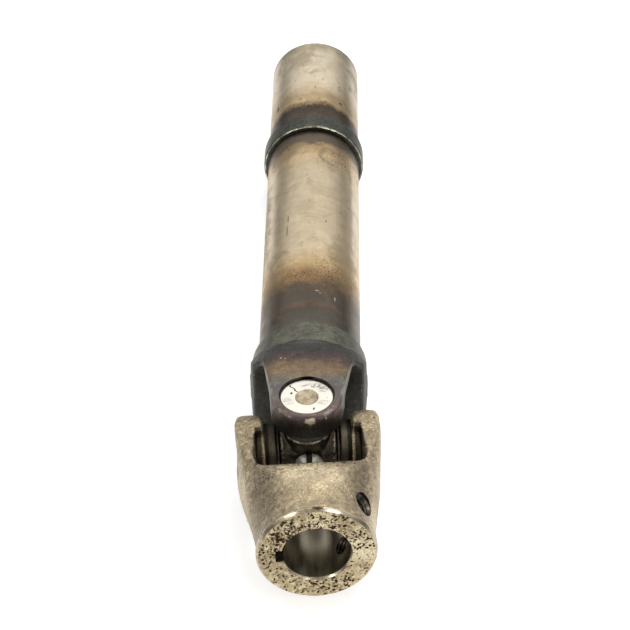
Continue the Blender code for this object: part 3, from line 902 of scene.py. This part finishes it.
def bored_steel(name="bored_steel", colour=(0.33, 0.295, 0.225)):
    """Reamed bores and their chamfers: smooth, with fine rings and a grey film."""
    paint = Paint(name, 1, 0.3)
    rings = paint.noise(0.7, 3, 0.6)
    wide = paint.noise(2, 4, 0.6, stretch=(1, 12, 1))
    paint.colour = paint.shaded(colour, rings, 0.16)
    paint.shade(wide, 0.25)
    paint.bump(rings, 0.02)
    return paint.done(paint.vary(wide, 0.27, 0.35))


def cup_steel():
    """Ground bearing cups: white and bright, the pressed dimple dull, with scratches and smears of grease."""
    paint = Paint("cup_steel", 1, 0.28)
    around = paint.from_axis((0, 0, 1))
    fine = paint.noise(0.7, 3, 0.6)
    paint.colour = paint.shaded((0.96, 0.925, 0.81), fine, 0.05)
    smear = paint.noise(1.3, 5, 0.7, stretch=(2.4, 1, 1), distortion=1.2, shift=1)
    for centre, size, strength in (
        ((2.6, 7.4, CUP_FACE), (5.2, 1.6, 3), 0.8),
        ((7.2, 5.2, CUP_FACE), (2.4, 2, 3), 0.75),
        ((7.4, -3.6, CUP_FACE), (3, 1.6, 3), 0.45),
        ((-8.4, -3, CUP_FACE), (2.4, 2.6, 3), 0.4),
    ):
        share = paint.times(paint.spot(centre, size, smear, 1), paint.spread(smear, 0.44, 0.54, 0, strength))
        paint.cover(share, (0.15, 0.11, 0.07))
    nicks = (((-6.8, 2.4, CUP_FACE), (0.5, 0.6, 1)), ((3.2, -7.6, CUP_FACE), (0.35, 0.8, 1)))
    paint.marks((0.03, 0.022, 0.015), fine, nicks)
    specks = paint.spread(paint.cells(3.1, shift=2), 0.1, 0.06)
    some = paint.spread(paint.noise(4, 1, shift=6), 0.5, 0.56)
    paint.cover(paint.times(specks, some), (0.16, 0.12, 0.08))
    from_scratch = paint.vector("ADD", paint.place, (6, -5.4, 0))
    run = paint.vector("DOT_PRODUCT", from_scratch, (0.62, -0.78, 0))
    off = paint.vector("DOT_PRODUCT", from_scratch, (0.78, 0.62, 0))
    ragged = paint.plus(off, paint.vary(paint.noise(1.2, 3), -0.35, 0.35))
    length = paint.spread(paint.maths("ABSOLUTE", run), 3.2, 2.6)
    line = paint.times(paint.spread(paint.maths("ABSOLUTE", ragged), 0.36, 0.16), length)
    paint.cover(line, (0.06, 0.045, 0.03))
    # Low on the side: dirt, with a dark line at the mouth and a near-black band by the ear painted as shade.
    height = paint.plus(paint.axis("z"), paint.vary(paint.noise(1.6, 3, 0.6), -0.25, 0.25))
    film = paint.ramp(
        paint.spread(height, CUP_MOUTH, CUP_MOUTH + 8),
        (0, (0.03, 0.026, 0.02)), (0.06, (0.075, 0.062, 0.045)), (0.2, (0.125, 0.105, 0.075)),
        (0.4, (0.09, 0.075, 0.052)), (0.48, (0.018, 0.015, 0.011)), (0.66, (0.03, 0.026, 0.02)),
        (1, (0.4, 0.37, 0.31)),
    )
    paint.cover(paint.spread(height, CUP_FACE - 0.5, CUP_MOUTH + 8), paint.shaded(film, fine, 0.3))
    patch = paint.noise(2.4, 4, 0.7, shift=4)
    dimple = paint.spread(around, CUP_DIMPLE_R + 0.1, CUP_DIMPLE_R - 0.3)
    greys = (0, (0.24, 0.2, 0.14)), (0.6, (0.52, 0.43, 0.29)), (1, (0.6, 0.51, 0.35))
    paint.cover(dimple, paint.ramp(paint.spread(patch, 0.35, 0.65), *greys))
    paint.bump(fine, 0.008)
    paint.bump(line, -0.05)
    dull = paint.most(dimple, paint.spread(height, CUP_MOUTH + 8, CUP_MOUTH + 5))
    return paint.done(paint.spread(dull, 0, 1, 0.3, 0.5))


def cross_steel():
    """The cross: dark greasy forging, brighter where it is ground or worn."""
    paint = Paint("cross_steel", 0.9, 0.4)
    mottle = paint.noise(2.2, 4, 0.65)
    fine = paint.noise(0.6, 3, 0.6)
    paint.colour = paint.ramp(paint.vary(mottle), (0, (0.022, 0.018, 0.013)), (1, (0.09, 0.078, 0.056)))
    paint.shade(fine, 0.3)
    worn = paint.spread(paint.plus(paint.relief(), paint.vary(mottle, -0.06, 0.06)), 0.1, 0.2)
    paint.cover(worn, (0.48, 0.42, 0.32))
    paint.bump(mottle, 0.1)
    paint.bump(fine, 0.05)
    return paint.done(paint.vary(mottle, 0.28, 0.55))


def plug_steel():
    """The grease plug: worn plating, grey-green with a soft shine, a painted highlight and painted shade in
    its slot.
    """
    paint = Paint("plug_steel", 0.6, 0.32)
    mottle = paint.noise(2.5, 4, 0.6)
    paint.colour = paint.ramp(paint.vary(mottle), (0, (0.26, 0.26, 0.21)), (1, (0.6, 0.57, 0.45)))
    # Darker in the hollows: dirt and painted shade; the slot is painted shade.
    hollow_darkening = paint.spread(paint.relief(), -0.02, -0.12)
    slot = paint.spread(paint.maths("ABSOLUTE", paint.axis("x")), 1.5, 1.15)
    slot = paint.times(slot, paint.spread(paint.axis("y"), -13.9, -13.3))
    # A painted highlight on the right lump.
    bright = ((4, -14, 1.6), (3.4, 2.4, 3.4))
    paint.marks((1, 0.96, 0.8), mottle, [bright])
    paint.cover(paint.most(hollow_darkening, slot), (0.02, 0.016, 0.012))
    paint.bump(mottle, 0.05)
    return paint.done(paint.vary(mottle, 0.32, 0.46))


# The dark rolled skin inside the tube, with a faint rust bloom.
BORE_SCALE = two_tone(
    "tube_bore_scale", 0.7, 0.6, (9, 5, 0.65), (0.4, 0.65), ((0.055, 0.05, 0.045), (0.16, 0.095, 0.055)),
    (0.45, 0.75), fine=(0.6, 3, 0.6), depth=0.06, grain=0.25,
)
END_STEEL = turned_steel()
FORGED = forged_steel()
BAND = band_steel("weld_band_steel", (0.135, 0.132, 0.103), 1)
RING = band_steel("collar_ring_steel", (0.078, 0.08, 0.066), 11)
# Narrow bright edges of the dark turned pieces.
EDGE = two_tone(
    "worn_edge_steel", 1, 0.35, (3, 4, 0.7), (0.42, 0.56), ((0.16, 0.15, 0.12), (0.55, 0.5, 0.38)),
    (0.45, 0.3), depth=0.04,
)
CAST = cast_steel()
FACE = faced_steel()
BORED = bored_steel()
RIM = polished_steel()
# Near black in the cup bores and their mouths: dirt and painted shade round each cup.
DIRT_AND_SHADE = bored_steel("dirt_and_shade_steel", (0.03, 0.026, 0.02))
# Dark in the set-screw threads: dirt and painted shade.
THREAD = bored_steel("thread_steel", (0.085, 0.074, 0.056))
CUP = cup_steel()
CROSS_STEEL = cross_steel()
PLUG = plug_steel()
# Oily rubber with road dust on it.
RUBBER = two_tone(
    "seal_rubber", 0, 0.55, (2, 4, 0.65), (0.4, 0.65), ((0.03, 0.026, 0.02), (0.105, 0.09, 0.066)),
    (0.42, 0.7), fine=(0.4, 2, 0.6), depth=0.04, grain=0.2,
)
# Oil-blacked spring wire.
WIRE = two_tone(
    "snap_ring_steel", 0.8, 0.45, (1, 3, 0.6), (0.3, 0.7), ((0.012, 0.011, 0.01), (0.045, 0.04, 0.035)),
    (0.35, 0.55), depth=0.02,
)
# Ground needle rollers under a film of grease.
NEEDLES = two_tone(
    "needle_roller_steel", 1, 0.18, (3, 3, 0.6), (0.4, 0.65), ((0.66, 0.66, 0.65), (0.42, 0.37, 0.27)),
    (0.14, 0.32), fine=(0.4, 2, 0.5, (1, 1, 20)), depth=0.004,
)
# Pale nylon, greased and slightly yellowed.
NYLON = two_tone(
    "washer_nylon", 0, 0.5, (2, 4, 0.6), (0.35, 0.65), ((0.72, 0.68, 0.56), (0.52, 0.44, 0.3)),
    (0.42, 0.58), fine=(0.3, 2), depth=0.01,
)


# ---------------------------------------------------------------- pieces

def paint_faces(obj, choose):
    """Gives each face the material that choose(centre, normal) names, with the centre in millimetres."""
    for face in obj.data.polygons:
        material = choose(face.center / MM, face.normal)
        if material.name not in obj.data.materials:
            obj.data.materials.append(material)
        face.material_index = obj.data.materials.find(material.name)


def tube_length(name, node, start, end, finish):
    """One length of tube, its ends faced and the edges broken."""
    profile = [
        (TUBE_R, start, 0.35), (TUBE_R, end, 0.8), (TUBE_BORE_R, end, 0.5), (TUBE_BORE_R, start, 0.35),
    ]
    tube = turned(name, profile, 192, closed=True)

    def choose(centre, normal):
        if centre.xy.length < TUBE_BORE_R + 0.1 and abs(normal.z) < 0.5:
            return BORE_SCALE
        return END_STEEL if abs(normal.z) > 0.8 else finish

    paint_faces(tube, choose)
    finished(tube, SHAFT @ FACING["+Y"], "tube_shaft", node)


def collar():
    """The ring that joins the two lengths, with a spigot into each."""
    profile = [
        (SPIGOT_BORE_R, RING_END + SPIGOT_LENGTH, 0.4), (SPIGOT_R, RING_END + SPIGOT_LENGTH, 0.8),
        (SPIGOT_R, RING_END), (RING_R - 1.5, RING_END, 0.2), (RING_R - 0.75, RING_END - 0.25, 0.2),
        (RING_R, RING_END - 1.3, 0.4), (RING_R, RING_START + 1.3, 0.3),
        (RING_R - 0.35, RING_START + 0.45, 0.2), (RING_R - 0.9, RING_START + 0.02, 0.1),
        (RING_R - 1.4, RING_START), (SPIGOT_R, RING_START), (SPIGOT_R, RING_START - SPIGOT_LENGTH, 0.8),
        (SPIGOT_BORE_R, RING_START - SPIGOT_LENGTH, 0.4),
    ]
    ring = turned("collar_ring_turned", profile, 192, closed=True)

    def choose(centre, normal):
        radius = centre.xy.length
        if radius > RING_R - 1.25 and centre.z > RING_END - 1.2:
            return EDGE
        if RING_R - 0.85 < radius < RING_R - 0.1 and centre.z < RING_START + 0.5:
            return EDGE
        return RING if radius > SPIGOT_R + 0.1 else BORE_SCALE

    paint_faces(ring, choose)
    finished(ring, SHAFT @ FACING["+Y"], "tube_shaft", "collar_ring")


def cup_bore(ear):
    """What the boring bar takes from both ears: the bore, its mouth and the snap ring's groove."""
    cutters = []
    for side in ("+Z", "-Z"):
        profile = [
            (0, ear + 12), (BORE_R + 0.55, ear + 12), (BORE_R + 0.55, ear), (BORE_R, ear - 0.55),
            (BORE_R, SNAP_REACH + 0.5), (GROOVE_R, SNAP_REACH + 0.3), (GROOVE_R, SNAP_REACH - 0.3),
            (BORE_R, SNAP_REACH - 0.5), (BORE_R, EAR_INNER - 1.5), (0, EAR_INNER - 1.5),
        ]
        cutters.append(moved(turned(f"cup_bore_{side}", profile, 128), FACING[side]))
    return cutters


def boss_stock(ear, shortfall):
    """Metal that fills both cup bores to just under the ear's face, with a little to spare on the inside."""
    stock = []
    for side in ("+Z", "-Z"):
        fill = [(0, EAR_INNER - 0.6), (INNER_BOSS_R, EAR_INNER - 0.6), (INNER_BOSS_R, 24)]
        fill += [(13, 24), (13, ear - shortfall), (0, ear - shortfall)]
        stock.append(moved(turned(f"boss_stock_{side}", fill, 64), FACING[side]))
    return stock


def boss_facer(name):
    """What facing takes from the insides of the bosses."""
    return cylinder(name, INNER_BOSS_R + 1, -EAR_INNER, EAR_INNER)


def screw_hole(angle):
    """Places a shape along +Z in the set-screw hole that lies this many degrees round from the hub's top."""
    turn = Matrix.Rotation(math.radians(90 - angle), 4, "Y")
    return Matrix.Translation((0, HUB_FACE - SCREW_FROM_FACE, 0)) @ turn


def hub_casting():
    stock = boss_stock(HUB_EAR, 0.8)
    stock.append(moved(cylinder("hub_bore_stock", KEY_REACH + 0.6, SLOT_FLOOR, HUB_FACE + 1.5), FACING["+Y"]))
    rim = cylinder("hub_rim_stock", HUB_R + 0.15, HUB_BAND_START - 2, HUB_FACE + 1.5)
    stock.append(moved(rim, FACING["+Y"]))
    for angle in SCREW_ANGLES_DEG:
        fill = cylinder(f"screw_stock_{angle:.0f}", 4.4, 10, 25, 48)
        stock.append(moved(fill, screw_hole(angle)))
    rough = [(0.35, 9, 2), (0.16, 2.4, 3)]

    def body(points):
        """The barrel and the roots of the ears, cast with the largest fillets, and the ears' round tips."""
        barrel = eased(points[:, 1], 14, 24) * eased(points[:, 1], 64, 58)
        return np.maximum(barrel, eased(points[:, 1], -1, -9))

    hub = forged_copy("hub_yoke_casting", "hub_yoke", HUB, stock, 0.45, 20, rough, body, 130)
    hub.data.materials.append(CAST)
    facing_profile = [
        (0, HUB_FACE), (HUB_R - 1.3, HUB_FACE, 0.2), (HUB_R - 0.15, HUB_FACE - 1.2, 0.9),
        (HUB_R - 0.15, HUB_BAND_START + 0.3), (HUB_R + 0.4, HUB_BAND_START), (HUB_R + 14, HUB_BAND_START),
        (HUB_R + 14, HUB_FACE + 9), (0, HUB_FACE + 9),
    ]
    facing = moved(turned("hub_facing", facing_profile, 192), FACING["+Y"])
    paint_faces(facing, lambda centre, normal: RIM if centre.xz.length > HUB_R - 1.35 else FACE)
    boolean(hub, [facing], "DIFFERENCE")
    bore_profile = [
        (0, HUB_FACE + 8), (HUB_BORE_R + HUB_CHAMFER + 0.1, HUB_FACE + 8),
        (HUB_BORE_R + HUB_CHAMFER + 0.1, HUB_FACE + 0.1), (HUB_BORE_R + HUB_CHAMFER - 0.1, HUB_FACE - 0.2),
        (HUB_BORE_R + 0.15, HUB_FACE - HUB_CHAMFER), (HUB_BORE_R, HUB_FACE - HUB_CHAMFER - 0.3),
        (HUB_BORE_R, SLOT_FLOOR - 8), (0, SLOT_FLOOR - 8),
    ]
    bore = moved(turned("hub_bore", bore_profile, 160), FACING["+Y"])
    length = HUB_FACE - SLOT_FLOOR + 30
    key_centre = (0, SLOT_FLOOR - 10 + length / 2, -KEY_REACH / 2)
    keyway = block("hub_keyway", (KEY_WIDTH, length, KEY_REACH), key_centre)
    paint_faces(bore, lambda centre, normal: RIM if centre.y > HUB_FACE - HUB_CHAMFER else BORED)
    boolean(hub, [bore], "DIFFERENCE")
    boolean(hub, [keyway, boss_facer("hub_boss_facer")], "DIFFERENCE", BORED)
    boolean(hub, cup_bore(HUB_EAR), "DIFFERENCE", DIRT_AND_SHADE)
    threads = []
    for angle in SCREW_ANGLES_DEG:
        mouth = [(0, 23.6), (SCREW_MINOR_R, 23.6), (SCREW_MAJOR_R + 0.7, 25.4)]
        mouth += [(SCREW_MAJOR_R + 0.9, 34), (0, 34)]
        threads.append(moved(tap(f"tap_{angle:.0f}", 9, 34), screw_hole(angle)))
        threads.append(moved(turned(f"screw_mouth_{angle:.0f}", mouth, 64), screw_hole(angle)))
    boolean(hub, threads, "DIFFERENCE", THREAD)
    finished(hub, HUB, "hub", "hub_yoke", axes=SHAFT)


def yoke_forging():
    stock = boss_stock(YOKE_EAR, 0.2)
    stock.append(moved(cylinder("band_stock", BAND_R + 0.3, BAND_START, BAND_END + 1.5), FACING["+Y"]))
    rough = [(0.22, 11, 2), (0.07, 2.6, 3)]

    def pads(points):
        """The tips of the ears, and the flat pads where they run into the round base."""
        across, along, up = np.abs(points[:, 0]), points[:, 1], np.abs(points[:, 2])
        root = eased(along, 17, 23) * eased(along, 43.5, 41.5) * eased(across, 20, 18)
        tip = eased(along, 3, -6)
        return np.maximum(root, tip) * eased(up, 20, 25)

    yoke = forged_copy("tube_yoke_forging", "tube_yoke", SHAFT, stock, 0.45, 6, rough, pads, 60)
    yoke.data.materials.append(FORGED)
    turning_profile = [
        (SPIGOT_R, BAND_END + SPIGOT_LENGTH + 5), (SPIGOT_R, BAND_END), (BAND_R - 1, BAND_END, 0.3),
        (BAND_R, BAND_END - 0.7, 0.6), (BAND_R, BAND_START + 0.4), (BAND_R + 0.4, BAND_START),
        (BAND_R + 15, BAND_START), (BAND_R + 15, BAND_END + SPIGOT_LENGTH + 5),
    ]
    turning = moved(turned("yoke_turning", turning_profile, 192, closed=True), FACING["+Y"])
    boolean(yoke, [turning], "DIFFERENCE", BAND)
    boolean(yoke, [boss_facer("yoke_boss_facer")], "DIFFERENCE", BORED)
    boolean(yoke, cup_bore(YOKE_EAR), "DIFFERENCE", DIRT_AND_SHADE)
    finished(yoke, SHAFT, "tube_shaft", "tube_yoke")


def cross_forging():
    stock = [moved(cylinder("cross_plug_stock", PLUG_R + 1.2, 0, PLUG_SEAT + 0.4), FACING["-Y"])]
    body = forged_copy("cross_forging", "cross", CROSS, stock, 0.35, 14, [(0.1, 2.2, 3)])
    body.data.materials.append(CROSS_STEEL)
    seat = cylinder("plug_seat", PLUG_R + 1, PLUG_SEAT, PLUG_SEAT + 12)
    hole = cylinder("plug_hole", 3.05, 2, PLUG_SEAT + 12)
    boolean(body, [moved(seat, FACING["-Y"]), moved(hole, FACING["-Y"])], "DIFFERENCE", CROSS_STEEL)
    finished(body, CROSS, "cross", "cross")


def grease_plug():
    """A slotted plug with a domed head, its slot worn round."""
    under = PLUG_SEAT + 0.3
    top = under + PLUG_HEIGHT
    profile = [
        (0, top), (PLUG_R - 1.8, top - 0.15, 1.5), (PLUG_R, top - 2.2, 2), (PLUG_R, under, 0.3), (2.9, under),
        (2.9, PLUG_SEAT - 6, 0.4), (0, PLUG_SEAT - 6),
    ]
    plug = moved(turned("grease_plug_head", profile, 96), FACING["-Y"])
    slot_depth = 2.6
    slot = block("plug_slot", (2.3, slot_depth + 2, 30), (0, -(top - slot_depth / 2 + 1), 0))
    boolean(plug, [slot], "DIFFERENCE")
    remeshed(plug, 0.15)
    smooth = smoother(plug)
    points = smooth(points_of(plug), 14)
    set_points(plug, points)
    keep_relief(plug, ((points - smooth(points, 30)) * normals_of(plug)).sum(axis=1))
    finished(plug, CROSS, "cross", "grease_plug", PLUG)


def snap_ring(side, local, body):
    """Round spring wire with rounded ends, open at the top of its circle."""
    curve = bpy.data.curves.new(f"{side}_snap_wire", "CURVE")
    curve.dimensions = "3D"
    curve.bevel_depth = SNAP_WIRE_R * MM
    curve.bevel_resolution = 4
    curve.use_fill_caps = True
    count = 120
    first = math.radians(90 + SNAP_GAP_DEG / 2)
    sweep = math.radians(360 - SNAP_GAP_DEG)
    spline = curve.splines.new("POLY")
    spline.points.add(count)
    for i, point in enumerate(spline.points):
        angle = first + sweep * i / count
        point.co = (SNAP_R * math.cos(angle) * MM, SNAP_R * math.sin(angle) * MM, SNAP_REACH * MM, 1)
        from_end = min(i, count - i)
        point.radius = 0.55 if from_end == 0 else 0.88 if from_end == 1 else 1.0
    guide = in_scene("snap_guide", curve)
    mesh = bpy.data.meshes.new_from_object(guide.evaluated_get(bpy.context.evaluated_depsgraph_get()))
    bpy.data.objects.remove(guide)
    with editing(mesh) as shape:
        bmesh.ops.remove_doubles(shape, verts=shape.verts, dist=0.001 * MM)
        bmesh.ops.recalc_face_normals(shape, faces=shape.faces)
    ring = in_scene(f"{side}_snap_wire", mesh)
    finished(ring, local, body, f"{side}_snap_ring", WIRE)


def needles(side, local, body):
    """Separate needle rollers with rounded ends, round the trunnion."""
    start, end = NEEDLE_START, NEEDLE_END
    profile = [(0, start), (NEEDLE_R, start, 0.7), (NEEDLE_R, end, 0.7), (0, end)]
    roller = turned("roller", profile, 20)
    rollers = build(f"{side}_needle_rollers")
    with editing(rollers.data) as shape:
        for i in range(NEEDLE_COUNT):
            copy = roller.data.copy()
            turn = Matrix.Rotation(2 * math.pi * i / NEEDLE_COUNT, 4, "Z")
            copy.transform(turn @ Matrix.Translation((NEEDLE_CIRCLE_R * MM, 0, 0)))
            shape.from_mesh(copy)
            bpy.data.meshes.remove(copy)
    bpy.data.objects.remove(roller)
    finished(rollers, local, body, f"{side}_needle_set", NEEDLES)


# Turned pieces of a bearing: the ends of its object's and node's names, its slot and material, the steps
# round, whether its profile is closed, and the profile.
CUP_SHELL = (
    "cup_shell", "bearing_cup", "cup", CUP, 128, False, [
        (0, CUP_FACE - CUP_DIMPLE), (CUP_DIMPLE_R - 0.7, CUP_FACE - CUP_DIMPLE, 0.5),
        (CUP_DIMPLE_R, CUP_FACE, 0.3), (CUP_R - 0.45, CUP_FACE, 0.25), (CUP_R, CUP_FACE - 0.45, 0.4),
        (CUP_R, CUP_MOUTH + 0.6, 0.4), (CUP_R - 0.6, CUP_MOUTH, 0.4), (CUP_BORE_R, CUP_MOUTH, 0.3),
        (CUP_BORE_R, CUP_FLOOR, 0.3), (0, CUP_FLOOR),
    ],
)
LIP_SEAL = (
    "lip_seal", "seal", "seal", RUBBER, 112, True, [
        (CUP_BORE_R - 0.25, CUP_MOUTH + 1.2, 0.3), (CUP_BORE_R - 0.25, CUP_MOUTH - 0.3, 0.2),
        (CUP_R - 0.9, CUP_MOUTH - 0.3, 0.25), (CUP_R - 1.2, SHOULDER_REACH + 0.45, 0.35),
        (CUP_BORE_R + 0.3, SHOULDER_REACH + 0.35, 0.3), (CUP_BORE_R - 0.2, SHOULDER_REACH + 0.75, 0.3),
        (SEAL_BORE_R + 0.9, SHOULDER_REACH + 0.4, 0.3), (SEAL_BORE_R, SHOULDER_REACH + 0.9, 0.3),
        (SEAL_BORE_R, CUP_MOUTH + 1.2, 0.3),
    ],
)
THRUST_DISC = (
    "thrust_disc", "thrust_washer", "washer", NYLON, 72, True, [
        (7, WASHER_END, 0.15), (7, WASHER_START, 0.15), (5.4, WASHER_START, 0.05),
        (5.1, WASHER_START + 0.12, 0.05), (4.8, WASHER_START, 0.05), (1.75, WASHER_START, 0.15),
        (1.75, WASHER_END, 0.15),
    ],
)


def bearing_piece(side, local, body, piece):
    name, node, slot, material, steps, closed, profile = piece
    obj = turned(f"{side}_{name}", profile, steps, closed)
    finished(obj, local, body, f"{side}_{node}", material)


tube_length("front_tube_length", "front_tube", TUBE_START, TUBE_JOIN, FRONT_STEEL)
tube_length("rear_tube_length", "rear_tube", REAR_START, TUBE_END, REAR_STEEL)
collar()
yoke_forging()
hub_casting()
cross_forging()
grease_plug()

BEARINGS = {
    "upper": (SHAFT @ FACING["+Z"], "tube_shaft", "tube_side_needles"),
    "lower": (SHAFT @ FACING["-Z"], "tube_shaft", "tube_side_needles"),
    "right": (CROSS @ FACING["+X"], "hub", "hub_side_needles"),
    "left": (CROSS @ FACING["-X"], "hub", "hub_side_needles"),
}
for side, (local, body, needle_body) in BEARINGS.items():
    bearing_piece(side, local, body, CUP_SHELL)
    bearing_piece(side, local, body, LIP_SEAL)
    snap_ring(side, local, body)
    needles(side, local, needle_body)
    bearing_piece(side, local, "cross", THRUST_DISC)


# ---------------------------------------------------------------- floor, light and camera

def floor_paper():
    """White paper, lit evenly where it is seen, and duller away from the object where it is reflected."""
    paint = Paint("pale_floor", 0, 0.9)
    reflected = paint.spread(paint.vector("LENGTH", paint.place), 130, 500, 0.6, 0.1)
    seen = paint.node("LightPath", {}, "Is Camera Ray")
    for name, level in (("Base Color", 0.8), ("Emission Color", 0.52)):
        feed(paint.tree, paint.shader[name], paint.mix(seen, reflected, (level, level, level)))
    paint.shader["Emission Strength"].default_value = 1.0
    return paint.material


def floor():
    """A pale sheet that leans a little, from the lower ear to the underside of the collar."""
    ear_y = CENTRE.y + 12.5 * MM
    ring_y = CENTRE.y + RING_START * MM
    ring_z = CENTRE.z - RING_R * MM
    slope = ring_z / (ring_y - ear_y)
    half = 3.0
    below = 0.0002
    square = ((-half, -half), (half, -half), (half, half), (-half, half))
    mesh = bpy.data.meshes.new("floor_sheet")
    mesh.from_pydata([(x, y, (y - ear_y) * slope - below) for x, y in square], [], [(0, 1, 2, 3)])
    mesh.materials.append(floor_paper())
    in_scene("floor_sheet", mesh)


def softbox(name, location, target, side, power):
    light = bpy.data.lights.new(name, "AREA")
    light.shape = "RECTANGLE"
    light.size = light.size_y = side
    light.energy = power
    obj = in_scene(name, light)
    obj.location = location
    obj.rotation_euler = (Vector(target) - Vector(location)).to_track_quat("-Z", "Y").to_euler()


def studio():
    """A pale tent, darker towards the horizon and the viewer, a key light overhead and two lamps in front."""
    middle = (0, -0.12, 0.03)
    softbox("key_softbox", (0.22, 0.1, 1.2), middle, 0.5, 4.2)
    softbox("left_lamp", (-0.66, -0.84, 0.8), middle, 0.3, 1.6)
    softbox("right_lamp", (0.6, -0.9, 0.88), middle, 0.3, 1.9)
    world = bpy.data.worlds.new("studio")
    world.use_nodes = True
    tree = world.node_tree
    direction = add_node(tree, "TexCoord", {}, "Generated")
    height = add_node(tree, "SeparateXYZ", {0: direction}, "Z")
    depth = add_node(tree, "SeparateXYZ", {0: direction}, "Y")
    depth = add_node(tree, "MapRange", {"Value": depth, "From Min": -1})
    by_height = [(0, 0.24), (0.16, 0.42), (0.36, 0.92), (0.64, 1.1), (1, 0.7)]
    by_depth = [(0, 0.4), (0.3, 0.6), (0.55, 1), (1, 1)]
    shades = {0: 1}
    for slot, value, levels in ((6, height, by_height), (7, depth, by_depth)):
        shades[slot] = add_ramp(tree, value, [(place, (level, level, level)) for place, level in levels])
    tent = add_node(tree, "Mix", shades, 2, data_type="RGBA", blend_type="MULTIPLY")
    seen = add_node(tree, "LightPath", {}, "Is Camera Ray")
    backdrop = add_node(tree, "Mix", {0: seen, 6: tent, 7: (1, 1, 1)}, 2, data_type="RGBA")
    feed(tree, tree.nodes["Background"].inputs["Color"], backdrop)
    bpy.context.scene.world = world


def camera():
    """Looks down the shaft from in front of the hub, about 39 degrees above it."""
    lens = bpy.data.cameras.new("camera")
    lens.lens = 108.895
    lens.sensor_width = 36.0
    lens.clip_start = 0.05
    obj = in_scene("camera", lens)
    place = CENTRE + Vector((16.977, -624.846, 587.378)) * MM
    turn = (
        Matrix.Rotation(math.radians(1.178), 4, "Z")
        @ Matrix.Rotation(math.radians(50.766), 4, "X")
        @ Matrix.Rotation(math.radians(-0.825), 4, "Z")
    )
    obj.matrix_world = Matrix.Translation(place) @ turn
    bpy.context.scene.camera = obj


floor()
studio()
camera()
bpy.context.scene.view_settings.view_transform = "Standard"
